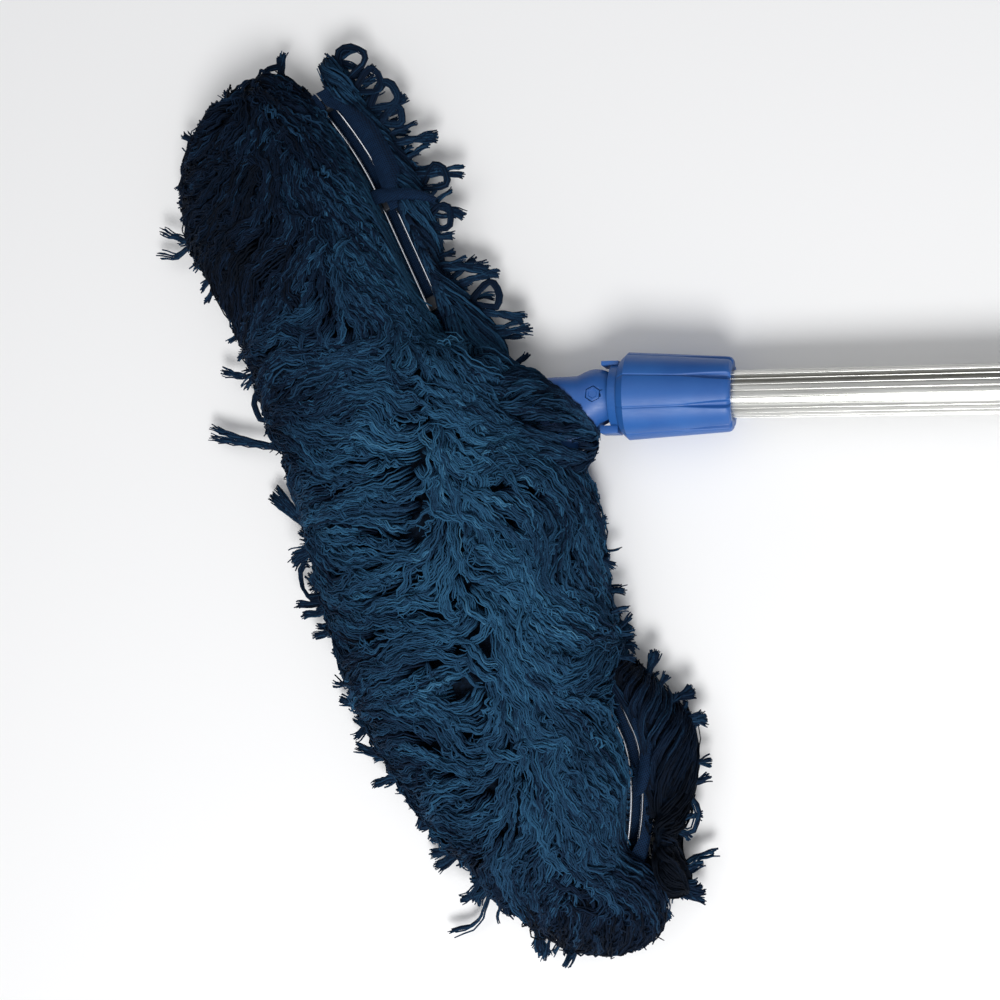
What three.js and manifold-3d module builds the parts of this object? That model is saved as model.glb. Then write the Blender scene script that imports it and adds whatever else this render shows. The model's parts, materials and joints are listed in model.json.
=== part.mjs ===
// A long-handled duster. A bendable wire frame under a yarn pile sleeve is carried by a tilting neck,
// which a twist collar clamps to a fluted tube that telescopes out of a plain one.
// Millimetres, +Z up. The duster lies on its side on the ground, with the pole along X.
// Lengths along the pole are counted from the tilt pivot. Those in the head are counted in the head's
// own frame, which is turned about the pivot by the tilt: s runs along the frame, f towards the front.

import * as THREE from "three";
import { mergeVertices } from "three/addons/utils/BufferGeometryUtils.js";
import Module from "manifold-3d";

const wasm = await Module();
wasm.setup();

// Driving dimensions
const GAP = 0.3; // clearance between pieces that touch
const GROUND = 24; // pole axis above the ground
const HEAD_TILT = 26; // degrees between the neck and the pole's line

const TUBE_RADIUS = 12.5;
const TUBE_WALL = 1.3;
const SECTION_LENGTH = 560; // each of the two tubes
const BARE_TUBE = 191.5; // fluted tube that shows between the two locks
const FLUTES = 24;
const FLUTE_DEPTH = 0.5;

const COLLAR_START = 13;
const COLLAR_LENGTH = 59.5;
const COLLAR_RADIUS = 23.5;
const COLLAR_BEVEL = 0.075; // of the collar's length
const COLLAR_RIBS = 8;

const HUB_DISTANCE = 62; // pivot to the frame's centre line
const HUB_HALF_LENGTH = 30;
const FRAME_HALF_LENGTH = 228;
const WIRE_RADIUS = 1;
const WIRE_SPREAD = 3.5; // each leg of a hairpin from the centre line
const TIP_BEND_START = 170;
const UPPER_TIP_BEND = 9; // how far each end of the frame is bent to the front
const LOWER_TIP_BEND = 26;

const PILE_HALF_LENGTH = 272;
const PILE_MIDDLE_HALF = 45;
const PILE_HEIGHT = 52; // crest above the pole axis
const UPPER_FRONT_REACH = 124;
const LOWER_FRONT_REACH = 140;
const REAR_REACH = 38;

// Colours and finishes
const BLUE_PLASTIC = { color: 0x3a63a8, roughness: 0.38, metalness: 0 };
const DARK_PLASTIC = { color: 0x23272e, roughness: 0.5, metalness: 0 };
const GREY_PLASTIC = { color: 0x8c9096, roughness: 0.5, metalness: 0 };
const ALUMINIUM = { color: 0xb9bab4, roughness: 0.3, metalness: 1 };
const STEEL = { color: 0xc9ced6, roughness: 0.25, metalness: 1 };
const RUBBER = { color: 0x1f2226, roughness: 0.8, metalness: 0 };
const BACKING = { color: 0x152442, roughness: 0.9, metalness: 0 };
const YARN = { color: 0x163348, roughness: 1, metalness: 0 };

// ---- geometry helpers ----

function solid(geometry) {
  const bare = new THREE.BufferGeometry();
  const source = geometry.index ? geometry.toNonIndexed() : geometry;
  bare.setAttribute("position", source.getAttribute("position"));
  const merged = mergeVertices(bare, 1e-4);
  return new wasm.Manifold(
    new wasm.Mesh({
      numProp: 3,
      vertProperties: new Float32Array(merged.attributes.position.array),
      triVerts: new Uint32Array(merged.index.array),
    }),
  );
}

function geometryOf(shape) {
  const mesh = shape.getMesh();
  const stride = mesh.numProp;
  const positions = new Float32Array(mesh.numVert * 3);
  for (let i = 0; i < mesh.numVert; i++) {
    positions.set(mesh.vertProperties.subarray(i * stride, i * stride + 3), i * 3);
  }
  const geometry = new THREE.BufferGeometry();
  geometry.setAttribute("position", new THREE.BufferAttribute(positions, 3));
  geometry.setIndex(new THREE.BufferAttribute(new Uint32Array(mesh.triVerts), 1));
  geometry.computeVertexNormals();
  return geometry;
}

// A box from its lowest and highest corners.
function box(low, high) {
  const size = high.map((value, i) => value - low[i]);
  const geometry = new THREE.BoxGeometry(...size);
  geometry.translate(...low.map((value, i) => value + size[i] / 2));
  return solid(geometry);
}

// A solid of revolution about X. The profile lists [x, radius] with the inside on its left.
function turned(profile, segments = 28) {
  const points = profile.map(([x, radius]) => new THREE.Vector2(radius, x));
  const geometry = new THREE.LatheGeometry(points, segments);
  geometry.rotateZ(-Math.PI / 2);
  return solid(geometry);
}

// A tube or ring about X.
function ring(start, end, inner, outer, segments = 28) {
  return turned([[start, inner], [start, outer], [end, outer], [end, inner], [start, inner]], segments);
}

// A round bar about Z, from one height to another.
function post(x, y, low, high, radius, sides = 16) {
  const geometry = new THREE.CylinderGeometry(radius, radius, high - low, sides);
  geometry.rotateX(Math.PI / 2);
  geometry.translate(x, y, (low + high) / 2);
  return solid(geometry);
}

// A flat outline in XY, between two heights.
function slab(shape, low, high, curveSegments = 12) {
  const geometry = new THREE.ExtrudeGeometry(shape, {
    depth: high - low,
    bevelEnabled: false,
    curveSegments,
  });
  geometry.translate(0, 0, low);
  return solid(geometry);
}

// A closed skin over rings of equally many points, in the order given.
function skinOver(rings) {
  const count = rings[0].length;
  const positions = rings.flat().flatMap((point) => point.toArray());
  const centres = [rings[0], rings.at(-1)].map((points) =>
    points.reduce((sum, point) => sum.add(point), new THREE.Vector3()).divideScalar(count),
  );
  centres.forEach((centre) => positions.push(...centre.toArray()));
  const firstCentre = rings.length * count;
  const lastRing = (rings.length - 1) * count;
  const triangles = [];
  for (let j = 0; j < count; j++) {
    const next = (j + 1) % count;
    for (let i = 0; i < rings.length - 1; i++) {
      const here = i * count;
      const there = here + count;
      triangles.push(here + j, here + next, there + next);
      triangles.push(here + j, there + next, there + j);
    }
    triangles.push(firstCentre, next, j);
    triangles.push(firstCentre + 1, lastRing + j, lastRing + next);
  }
  const geometry = new THREE.BufferGeometry();
  geometry.setAttribute("position", new THREE.Float32BufferAttribute(positions, 3));
  geometry.setIndex(triangles);
  return solid(geometry);
}

// The same skin, with its faces turned outwards whichever way round its rings were drawn.
function loft(rings) {
  const made = skinOver(rings);
  return made.volume() > 0 ? made : skinOver(rings.map((points) => [...points].reverse()));
}

function circleShape(radius, steps) {
  const points = [];
  for (let i = 0; i < steps; i++) {
    const angle = (i / steps) * 2 * Math.PI;
    points.push(new THREE.Vector2(Math.cos(angle), Math.sin(angle)).multiplyScalar(radius));
  }
  return new THREE.Shape(points);
}

function piece(name, shape, finish) {
  const mesh = new THREE.Mesh(geometryOf(shape), new THREE.MeshStandardMaterial(finish));
  mesh.name = name;
  return mesh;
}

// ---- pole ----

const COLLAR_END = COLLAR_START + COLLAR_LENGTH;
const TUBE_START = 26;
const TUBE_END = TUBE_START + SECTION_LENGTH;
const TUBE_BORE = TUBE_RADIUS - TUBE_WALL;
const NUT_START = COLLAR_END + BARE_TUBE;
const CLAMP_START = NUT_START + 6;
const LOCK_START = CLAMP_START + 6;
const OUTER_BORE = TUBE_RADIUS + 0.8;
const OUTER_RADIUS = OUTER_BORE + 1.2;
const OUTER_START = LOCK_START + 6;
const OUTER_END = OUTER_START + SECTION_LENGTH;
const SLEEVE_BORE = OUTER_RADIUS + GAP;

function flutedOutline() {
  const points = [];
  const pitch = (2 * Math.PI) / FLUTES;
  for (let i = 0; i < FLUTES; i++) {
    for (const [turn, depth] of [[-0.14, 0], [0, FLUTE_DEPTH], [0.14, 0], [0.5, 0]]) {
      const angle = (i + turn) * pitch;
      const radius = TUBE_RADIUS - depth;
      points.push(new THREE.Vector2(radius * Math.cos(angle), radius * Math.sin(angle)));
    }
  }
  return new THREE.Shape(points);
}

function innerTube() {
  const outline = flutedOutline();
  outline.holes.push(circleShape(TUBE_BORE, FLUTES));
  const geometry = new THREE.ExtrudeGeometry(outline, { depth: SECTION_LENGTH, bevelEnabled: false });
  geometry.rotateY(Math.PI / 2);
  geometry.translate(TUBE_START, 0, 0);
  return solid(geometry);
}

function guideBush() {
  const SPIGOT_LENGTH = 15;
  const FLANGE_LENGTH = 4;
  const flange = TUBE_END + GAP;
  const spigot = TUBE_BORE - GAP;
  const rim = OUTER_BORE - GAP;
  return turned([
    [flange - SPIGOT_LENGTH, 0],
    [flange - SPIGOT_LENGTH, spigot],
    [flange, spigot],
    [flange, rim],
    [flange + FLANGE_LENGTH, rim],
    [flange + FLANGE_LENGTH, 0],
  ]);
}

const LOCK_RADIUS = 17;
const LOCK_COLLAR_RADIUS = 19;
const LOCK_COLLAR_LENGTH = 5;
const LOCK_END = OUTER_START + 26;
const CLAMP_RADIUS = 16.5;

// The sleeve on the outer tube's mouth that the lock nut turns on.
function lockBody() {
  const throat = TUBE_RADIUS + GAP;
  return turned([
    [LOCK_START, throat],
    [LOCK_START, LOCK_RADIUS],
    [LOCK_END - LOCK_COLLAR_LENGTH, LOCK_RADIUS],
    [LOCK_END - LOCK_COLLAR_LENGTH, LOCK_COLLAR_RADIUS],
    [LOCK_END, LOCK_COLLAR_RADIUS],
    [LOCK_END, SLEEVE_BORE],
    [OUTER_START - GAP, SLEEVE_BORE],
    [OUTER_START - GAP, throat],
    [LOCK_START, throat],
  ]);
}

// The split ring that the nut squeezes on to the fluted tube.
function clampRing() {
  const SPLIT = 2;
  const whole = ring(CLAMP_START, LOCK_START - GAP, TUBE_RADIUS + GAP, CLAMP_RADIUS);
  return whole.subtract(box([CLAMP_START - 1, 0, -SPLIT / 2], [LOCK_START, CLAMP_RADIUS + 1, SPLIT / 2]));
}

function lockNut() {
  const GRIPS = 12;
  const GRIP_GROOVE = 1.6;
  const NOSE_LENGTH = 3;
  const NOSE_RADIUS = 18.5;
  const NUT_RADIUS = 21;
  const RIM_BEVEL = 1;
  const end = LOCK_END - LOCK_COLLAR_LENGTH - 1;
  const throat = TUBE_RADIUS + 0.4;
  const chamber = LOCK_RADIUS + GAP;
  const body = turned([
    [NUT_START, throat],
    [NUT_START, NOSE_RADIUS],
    [NUT_START + NOSE_LENGTH, NUT_RADIUS - 0.5],
    [end - 1.5 * RIM_BEVEL, NUT_RADIUS],
    [end, NUT_RADIUS - RIM_BEVEL],
    [end, chamber],
    [CLAMP_START - GAP, chamber],
    [CLAMP_START - GAP, throat],
    [NUT_START, throat],
  ], 48);
  const centre = NUT_RADIUS + 0.4;
  let nut = body;
  for (let i = 0; i < GRIPS; i++) {
    const angle = ((i + 0.5) / GRIPS) * 2 * Math.PI;
    const groove = new THREE.CylinderGeometry(GRIP_GROOVE, GRIP_GROOVE, end - NUT_START, 8);
    groove.rotateZ(-Math.PI / 2);
    groove.translate((NUT_START + end) / 2 + 4, centre * Math.cos(angle), centre * Math.sin(angle));
    nut = nut.subtract(solid(groove));
  }
  return nut;
}

const GRIP_END = OUTER_END - 14;
const GRIP_LENGTH = 120;
const GRIP_RADIUS = 17.2;

function handGrip() {
  const RINGS = 6;
  const WAIST_RADIUS = 16.3;
  const LIP_RADIUS = 16;
  const PLAIN_END = 8;
  const BEVEL = 3;
  const start = GRIP_END - GRIP_LENGTH;
  const pitch = (GRIP_LENGTH - 2 * PLAIN_END) / RINGS;
  const profile = [
    [start, SLEEVE_BORE],
    [start, LIP_RADIUS],
    [start + BEVEL, GRIP_RADIUS],
    [start + PLAIN_END, GRIP_RADIUS],
  ];
  for (let i = 0; i < RINGS; i++) {
    const x = start + PLAIN_END + i * pitch;
    profile.push([x + 0.25 * pitch, WAIST_RADIUS], [x + 0.5 * pitch, WAIST_RADIUS]);
    profile.push([x + 0.75 * pitch, GRIP_RADIUS], [x + pitch, GRIP_RADIUS]);
  }
  profile.push([GRIP_END - BEVEL, GRIP_RADIUS], [GRIP_END, LIP_RADIUS]);
  profile.push([GRIP_END, SLEEVE_BORE], [start, SLEEVE_BORE]);
  return turned(profile, 20);
}

const CAP_START = GRIP_END + GAP;
const EYE_X = OUTER_END + 24;
const EYE_RADIUS = 6;
const TAB_HALF = 3.5;
const TAB_HALF_WIDTH = 12;
const CAP_RADIUS = 17;

// The cup on the outer tube's end, with a flat tab whose eye hangs on a hook.
function endCap() {
  const SPIGOT_LENGTH = 24;
  const SHOULDER_LENGTH = 5;
  const spigot = OUTER_BORE - GAP;
  const floor = OUTER_END + GAP;
  const shoulder = floor + SHOULDER_LENGTH;
  const cup = turned([
    [OUTER_END - SPIGOT_LENGTH, 0],
    [OUTER_END - SPIGOT_LENGTH, spigot - 1],
    [OUTER_END - SPIGOT_LENGTH + 1, spigot],
    [floor, spigot],
    [floor, SLEEVE_BORE],
    [CAP_START, SLEEVE_BORE],
    [CAP_START, CAP_RADIUS - 0.6],
    [CAP_START + 2, CAP_RADIUS],
    [shoulder, CAP_RADIUS],
    [shoulder + SHOULDER_LENGTH, TAB_HALF_WIDTH],
    [shoulder + SHOULDER_LENGTH, 0],
  ]);
  const tab = new THREE.Shape();
  tab.moveTo(floor + 2, -TAB_HALF_WIDTH - 1);
  tab.lineTo(EYE_X, -TAB_HALF_WIDTH);
  tab.absarc(EYE_X, 0, TAB_HALF_WIDTH, -Math.PI / 2, Math.PI / 2, false);
  tab.lineTo(floor + 2, TAB_HALF_WIDTH + 1);
  tab.closePath();
  const eye = post(EYE_X, 0, -TAB_HALF - 1, TAB_HALF + 1, EYE_RADIUS);
  return cup.add(slab(tab, -TAB_HALF, TAB_HALF)).subtract(eye);
}

// ---- pole end, collar and wedge ----

const MOUTH_RADIUS = 17.6;
const CUP_RADIUS = MOUTH_RADIUS - 0.4;
const CUP_BORE = 16;
const CUP_START = 8.2;
const CUP_FLOOR = 17;
const FLANGE_START = 19.3;
const FLANGE_END = 22.8;
const FLANGE_RADIUS = 18.6;
const BOLT_RADIUS = 2.8;
const TONGUE_RADIUS = 12;
const TONGUE_HALF = 3.2;
const PLUG_END = TUBE_START + 36;

// A block outside the cup's mouth that the neck meets at the end of its tilt.
function tiltStop(side, reach) {
  const START = 3;
  const HALF_HEIGHT = 7;
  const ends = [side * (CUP_RADIUS - 1), side * reach].sort((a, b) => a - b);
  return box([START, ends[0], -HALF_HEIGHT], [COLLAR_START - 2 * GAP, ends[1], HALF_HEIGHT]);
}

function adaptorCore() {
  const STEM_HALF_WIDTH = 8;
  const shoulder = TUBE_RADIUS - 0.2;
  const plug = TUBE_BORE - GAP;
  const cup = turned([
    [CUP_FLOOR, 0],
    [CUP_FLOOR, CUP_BORE],
    [CUP_START, CUP_BORE],
    [CUP_START, CUP_RADIUS],
    [FLANGE_START, CUP_RADIUS],
    [FLANGE_START, FLANGE_RADIUS],
    [FLANGE_END, FLANGE_RADIUS],
    [FLANGE_END, shoulder],
    [TUBE_START - GAP, shoulder],
    [TUBE_START - GAP, plug],
    [PLUG_END, plug],
    [PLUG_END, 0],
  ], 40);
  const tongue = post(0, 0, -TONGUE_HALF, TONGUE_HALF, TONGUE_RADIUS, 32);
  const stem = box([0, -STEM_HALF_WIDTH, -TONGUE_HALF], [CUP_FLOOR + 1, STEM_HALF_WIDTH, TONGUE_HALF]);
  const bore = post(0, 0, -TONGUE_HALF - 1, TONGUE_HALF + 1, BOLT_RADIUS + GAP);
  const stops = tiltStop(-1, CUP_RADIUS + 3).add(tiltStop(1, CUP_RADIUS + 1.2));
  return cup.add(tongue).add(stem).add(stops).subtract(bore);
}

// The slotted sleeve that closes on the fluted tube when the wedge is driven along it.
function adaptorCollet() {
  const SLOTS = 4;
  const SLOT_LENGTH = 30;
  const SLOT_WIDTH = 1.6;
  const FOOT_RADIUS = 16.2;
  const FOOT_LENGTH = 3;
  const SLEEVE_RADIUS = 14.6;
  const TAPER_LENGTH = 12;
  const TAPER = 0.8;
  const start = FLANGE_END + GAP;
  const end = start + 42;
  const bore = TUBE_RADIUS + GAP;
  let collet = turned([
    [start, bore],
    [start, FOOT_RADIUS],
    [start + FOOT_LENGTH, FOOT_RADIUS],
    [start + FOOT_LENGTH, SLEEVE_RADIUS],
    [end - TAPER_LENGTH, SLEEVE_RADIUS],
    [end, SLEEVE_RADIUS - TAPER],
    [end, bore],
    [start, bore],
  ]);
  for (let i = 0; i < SLOTS; i++) {
    const slot = new THREE.BoxGeometry(SLOT_LENGTH, 20, SLOT_WIDTH);
    slot.translate(end - SLOT_LENGTH / 2 + 1, 10, 0);
    slot.rotateX((i / SLOTS) * 2 * Math.PI);
    collet = collet.subtract(solid(slot));
  }
  return collet;
}

const WEDGE_START = 46;
const WEDGE_LENGTH = 10;
const COLLAR_BORE = 17;

// The ring that the collar screws along the slotted sleeve. Its bore narrows to the rear.
function wedgeRing() {
  const WIDE_BORE = 15.4;
  const NARROW_BORE = 15;
  const end = WEDGE_START + WEDGE_LENGTH;
  const outside = COLLAR_BORE - 0.4;
  return turned([
    [WEDGE_START, WIDE_BORE],
    [WEDGE_START, outside],
    [end, outside],
    [end, NARROW_BORE],
    [WEDGE_START, WIDE_BORE],
  ]);
}

// The collar's skin: ribbed, widest behind its bevelled front and narrower to the rear,
// with grooves between the ribs that deepen from its middle to its scalloped rear edge.
function collarRadius(along, angle) {
  const FRONT_RADIUS = 19.4;
  const TAPER = 4.2;
  const GROOVE_START = 0.45; // of the collar's length
  const GROOVE_DEPTH = 1.7;
  const FACET_DEPTH = 0.35;
  const bevelled = Math.min(along / COLLAR_BEVEL, 1);
  const front = THREE.MathUtils.lerp(FRONT_RADIUS, COLLAR_RADIUS, bevelled);
  const taper = TAPER * Math.max(along - COLLAR_BEVEL, 0);
  const phase = 0.5 + 0.5 * Math.cos(COLLAR_RIBS * angle);
  const groove = THREE.MathUtils.smoothstep(along, GROOVE_START, 1) * GROOVE_DEPTH * (1 - phase) ** 2;
  return front - taper - groove - FACET_DEPTH * (1 - phase) * bevelled;
}

function lockingCollar() {
  const AROUND = COLLAR_RIBS * 5;
  const REAR_WALL = 5;
  const rings = [0, COLLAR_BEVEL, 0.26, 0.45, 0.58, 0.7, 0.82, 0.92, 0.98, 1].map((along) => {
    const points = [];
    for (let j = 0; j < AROUND; j++) {
      const angle = (j / AROUND) * 2 * Math.PI;
      const trim = along > 0.97 ? (along - 0.97) * 30 : 0;
      const radius = collarRadius(along, angle) - trim;
      const x = COLLAR_START + along * COLLAR_LENGTH;
      points.push(new THREE.Vector3(x, radius * Math.cos(angle), radius * Math.sin(angle)));
    }
    return points;
  });
  const hollow = turned([
    [COLLAR_START - 1, 0],
    [COLLAR_START - 1, MOUTH_RADIUS],
    [FLANGE_START - GAP, MOUTH_RADIUS],
    [FLANGE_START - GAP, FLANGE_RADIUS + 0.4],
    [FLANGE_END + GAP, FLANGE_RADIUS + 0.4],
    [FLANGE_END + GAP, COLLAR_BORE],
    [COLLAR_END - REAR_WALL, COLLAR_BORE],
    [COLLAR_END - REAR_WALL, TUBE_RADIUS + 0.4],
    [COLLAR_END + 1, TUBE_RADIUS + 0.4],
    [COLLAR_END + 1, 0],
  ], 40);
  return loft(rings).subtract(hollow);
}

// ---- neck ----

const CHEEK_INSIDE = 4.4;
const WASHER_THICKNESS = 0.6;
const NECK_END = -(HUB_DISTANCE - 7 - 0.4);
const SOCKET_WALL = -15.3;
const TANG_HALF = 2.5;
const TANG_HALF_WIDTH = 17.5;
const TANG_START = -24;
const SCREW_SPOTS = [[-32, 11], [-32, -11], [-46, 14], [-46, -14]];
const SCREW_BORE = 2.1;
const SCREW_TOP = 6.5;
const SCREW_SEAT = -6.8;
const SCREW_HEAD_RADIUS = 3.2;
const BOLT_HEAD_SEAT = 10.5;
const BOLT_HEAD_RADIUS = 4.1;
const NUT_SEAT_RADIUS = 5;

// Half-width and half-height of the neck where the head's own X is x.
function neckSection(x) {
  const KNUCKLE = 15.2;
  if (x > -5) {
    const radius = Math.sqrt(Math.max(KNUCKLE ** 2 - Math.max(x, 0) ** 2, 0.2));
    return [radius, radius * 0.94];
  }
  const along = (x + 5) / (NECK_END + 5);
  const width = KNUCKLE + 14.8 * Math.sin(along * 0.5 * Math.PI);
  const height = THREE.MathUtils.lerp(KNUCKLE * 0.94, 8.6, THREE.MathUtils.smoothstep(along, 0, 1));
  return [width, height];
}

function neckBody() {
  const AROUND = 32;
  const stations = [15.1, 14, 11.5, 8, 4, 0, -5, -9, -14, -20, -27, -34, -42, -49, NECK_END];
  const rings = stations.map((x) => {
    const [width, height] = neckSection(x);
    const flatness = THREE.MathUtils.clamp(-x / 40, 0, 1);
    const power = 1 - 0.35 * flatness;
    const points = [];
    for (let j = 0; j < AROUND; j++) {
      const angle = (j / AROUND) * 2 * Math.PI;
      const across = Math.cos(angle);
      const up = Math.sin(angle);
      const y = width * Math.sign(across) * Math.abs(across) ** power;
      const z = height * Math.sign(up) * Math.abs(up) ** power;
      points.push(new THREE.Vector3(x, y, z));
    }
    return points;
  });
  return loft(rings);
}

// Half of the neck, above or below its split plane.
function neckShell(side) {
  const half = side > 0 ? box([-90, -50, GAP / 2], [40, 50, 40]) : box([-90, -50, -40], [40, 50, -GAP / 2]);
  const knuckleGap = box([SOCKET_WALL, -40, -CHEEK_INSIDE], [40, 40, CHEEK_INSIDE]);
  const tangPocket = box(
    [NECK_END - 5, -TANG_HALF_WIDTH - GAP, -TANG_HALF - GAP],
    [TANG_START + 1, TANG_HALF_WIDTH + GAP, TANG_HALF + GAP],
  );
  let shell = neckBody().intersect(half).subtract(knuckleGap).subtract(tangPocket);
  shell = shell.subtract(post(0, 0, -30, 30, BOLT_RADIUS + GAP));
  const headSeat = post(0, 0, BOLT_HEAD_SEAT, 30, BOLT_HEAD_RADIUS + GAP, 6);
  const nutSeat = post(0, 0, -30, -BOLT_HEAD_SEAT, NUT_SEAT_RADIUS);
  shell = shell.subtract(side > 0 ? headSeat : nutSeat);
  for (const [x, y] of SCREW_SPOTS) {
    shell = shell.subtract(post(x, y, -30, SCREW_TOP, SCREW_BORE, 10));
    shell = shell.subtract(post(x, y, -30, SCREW_SEAT, SCREW_HEAD_RADIUS + 0.4, 12));
  }
  return shell;
}

function frictionWasher(side) {
  const low = side > 0 ? TONGUE_HALF + GAP : -TONGUE_HALF - GAP - WASHER_THICKNESS;
  const disc = post(0, 0, low, low + WASHER_THICKNESS, TONGUE_RADIUS - 1, 24);
  return disc.subtract(post(0, 0, low - 1, low + 2, BOLT_RADIUS + GAP));
}

function pivotBolt() {
  const head = post(0, 0, BOLT_HEAD_SEAT + GAP, BOLT_HEAD_SEAT + 3.6, BOLT_HEAD_RADIUS, 6);
  return head.add(post(0, 0, -BOLT_HEAD_SEAT - 3.4, BOLT_HEAD_SEAT + 1, BOLT_RADIUS));
}

function pivotNut() {
  const nut = post(0, 0, -BOLT_HEAD_SEAT - 3.2, -BOLT_HEAD_SEAT - GAP, NUT_SEAT_RADIUS - 0.6, 6);
  return nut.subtract(post(0, 0, -30, 0, BOLT_RADIUS + 0.05));
}

function neckScrew([x, y]) {
  const HEAD_BOTTOM = -9.2;
  const SLOT_DEPTH = 1;
  const head = post(x, y, HEAD_BOTTOM, SCREW_SEAT - GAP, SCREW_HEAD_RADIUS, 12);
  const shank = post(x, y, HEAD_BOTTOM + 1, SCREW_TOP - 0.5, SCREW_BORE - 0.35, 8);
  const slot = box([x - 4, y - 0.5, HEAD_BOTTOM - 1], [x + 4, y + 0.5, HEAD_BOTTOM + SLOT_DEPTH]);
  return head.add(shank).subtract(slot);
}

// ---- frame ----

// Distance of the frame's centre line to the front, where s runs along the frame.
function bow(s) {
  const tip = s > 0 ? UPPER_TIP_BEND : LOWER_TIP_BEND;
  const along = Math.max(Math.abs(s) - TIP_BEND_START, 0) / (FRAME_HALF_LENGTH - TIP_BEND_START);
  return tip * along ** 1.6;
}

// The places along the frame where everything that follows its bend has a cross-section.
function stations(start, end) {
  const PITCH = 12;
  const places = [start];
  for (let s = PITCH * Math.ceil((start + 1) / PITCH); s < end - 1; s += PITCH) {
    places.push(s);
  }
  return [...places, end];
}

// A point of the head, from its place along the frame, to the front and upwards.
function headPoint(s, f, z = 0) {
  return new THREE.Vector3(-HUB_DISTANCE - f, s, z);
}

// A curve stepped evenly from one of its points to the next, so a short bend gets as many as a long leg.
class PointSteppedCurve extends THREE.CatmullRomCurve3 {
  getPointAt(u, target) {
    return this.getPoint(u, target);
  }

  getTangentAt(u, target) {
    return this.getTangent(u, target);
  }
}

// Two legs joined by a round end, bent out of one wire.
function hairpin(side, radius, rootAt) {
  const tip = FRAME_HALF_LENGTH - WIRE_SPREAD;
  const places = [rootAt, 60, 110, 150, TIP_BEND_START, 186, 200, 212, tip];
  const leg = (offset) => places.map((s) => headPoint(side * s, bow(side * s) + offset));
  const bend = [0.25, 0.5, 0.75].map((t) => {
    const reach = WIRE_SPREAD * Math.sin(t * Math.PI);
    const across = WIRE_SPREAD * Math.cos(t * Math.PI);
    return headPoint(side * (tip + reach), bow(side * FRAME_HALF_LENGTH) + across);
  });
  const path = new PointSteppedCurve([
    ...leg(WIRE_SPREAD),
    ...bend,
    ...leg(-WIRE_SPREAD).reverse(),
  ]);
  const geometry = new THREE.ExtrudeGeometry(circleShape(radius, 8), {
    steps: 2 * (path.points.length - 1),
    extrudePath: path,
  });
  return solid(geometry);
}

const WIRE_ROOT = 14;

function frameHub() {
  const HALF_WIDTH = 7;
  const HALF_HEIGHT = 6;
  const outline = new THREE.Shape();
  const nearest = -HUB_DISTANCE + HALF_WIDTH;
  const farthest = -HUB_DISTANCE - HALF_WIDTH;
  outline.moveTo(nearest, -HUB_HALF_LENGTH + 5);
  outline.lineTo(nearest, HUB_HALF_LENGTH - 5);
  outline.quadraticCurveTo(nearest, HUB_HALF_LENGTH, nearest - 5, HUB_HALF_LENGTH);
  outline.lineTo(farthest + 5, HUB_HALF_LENGTH);
  outline.quadraticCurveTo(farthest, HUB_HALF_LENGTH, farthest, HUB_HALF_LENGTH - 5);
  outline.lineTo(farthest, -HUB_HALF_LENGTH + 5);
  outline.quadraticCurveTo(farthest, -HUB_HALF_LENGTH, farthest + 5, -HUB_HALF_LENGTH);
  outline.lineTo(nearest - 5, -HUB_HALF_LENGTH);
  outline.quadraticCurveTo(nearest, -HUB_HALF_LENGTH, nearest, -HUB_HALF_LENGTH + 5);
  let hub = slab(outline, -HALF_HEIGHT, HALF_HEIGHT, 4);
  const tang = box([nearest - 2, -TANG_HALF_WIDTH, -TANG_HALF], [TANG_START, TANG_HALF_WIDTH, TANG_HALF]);
  hub = hub.add(tang);
  for (const [x, y] of SCREW_SPOTS) {
    hub = hub.subtract(post(x, y, -10, 10, SCREW_BORE, 10));
  }
  for (const side of [1, -1]) {
    hub = hub.subtract(hairpin(side, WIRE_RADIUS + GAP, WIRE_ROOT - 1));
  }
  return hub;
}

const UPPER_SPACERS = [92, 158];
const LOWER_SPACERS = [92, 136];
const SPACER_LENGTH = 8;
const BLOCK_HALF_HEIGHT = 3.2;

// A block round both legs of a hairpin, which holds them apart.
function wireBlock(side, start, end, halfWidth) {
  const rings = stations(start, end).map((s) => {
    const centre = bow(side * s);
    const corners = [[-1, -1], [1, -1], [1, 1], [-1, 1]];
    return corners.map(([f, z]) => headPoint(side * s, centre + f * halfWidth, z * BLOCK_HALF_HEIGHT));
  });
  return loft(rings).subtract(hairpin(side, WIRE_RADIUS + GAP, WIRE_ROOT));
}

function spacer(side, at) {
  return wireBlock(side, at - SPACER_LENGTH / 2, at + SPACER_LENGTH / 2, 6.8);
}

function tipGuard(side) {
  return wireBlock(side, FRAME_HALF_LENGTH - 8, FRAME_HALF_LENGTH + 4, 7.2);
}

// ---- sleeve ----

const POCKET_START = HUB_HALF_LENGTH + 6;
const POCKET_END = FRAME_HALF_LENGTH + 8;
const POCKET_WIDTH = 10; // half of it
const POCKET_HEIGHT = 5.2; // half of it
const CLOTH = 1.3;

// A flat bar that follows the frame from start to end.
function flatBar(side, start, end, halfWidth, halfHeight) {
  const inset = 2;
  const outline = [
    [-halfWidth, -halfHeight + inset],
    [-halfWidth + inset, -halfHeight],
    [halfWidth - inset, -halfHeight],
    [halfWidth, -halfHeight + inset],
    [halfWidth, halfHeight - inset],
    [halfWidth - inset, halfHeight],
    [-halfWidth + inset, halfHeight],
    [-halfWidth, halfHeight - inset],
  ];
  const rings = stations(start, end).map((along) => {
    const s = side * along;
    return outline.map(([f, z]) => headPoint(s, bow(s) + f, z));
  });
  return loft(rings);
}

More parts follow.
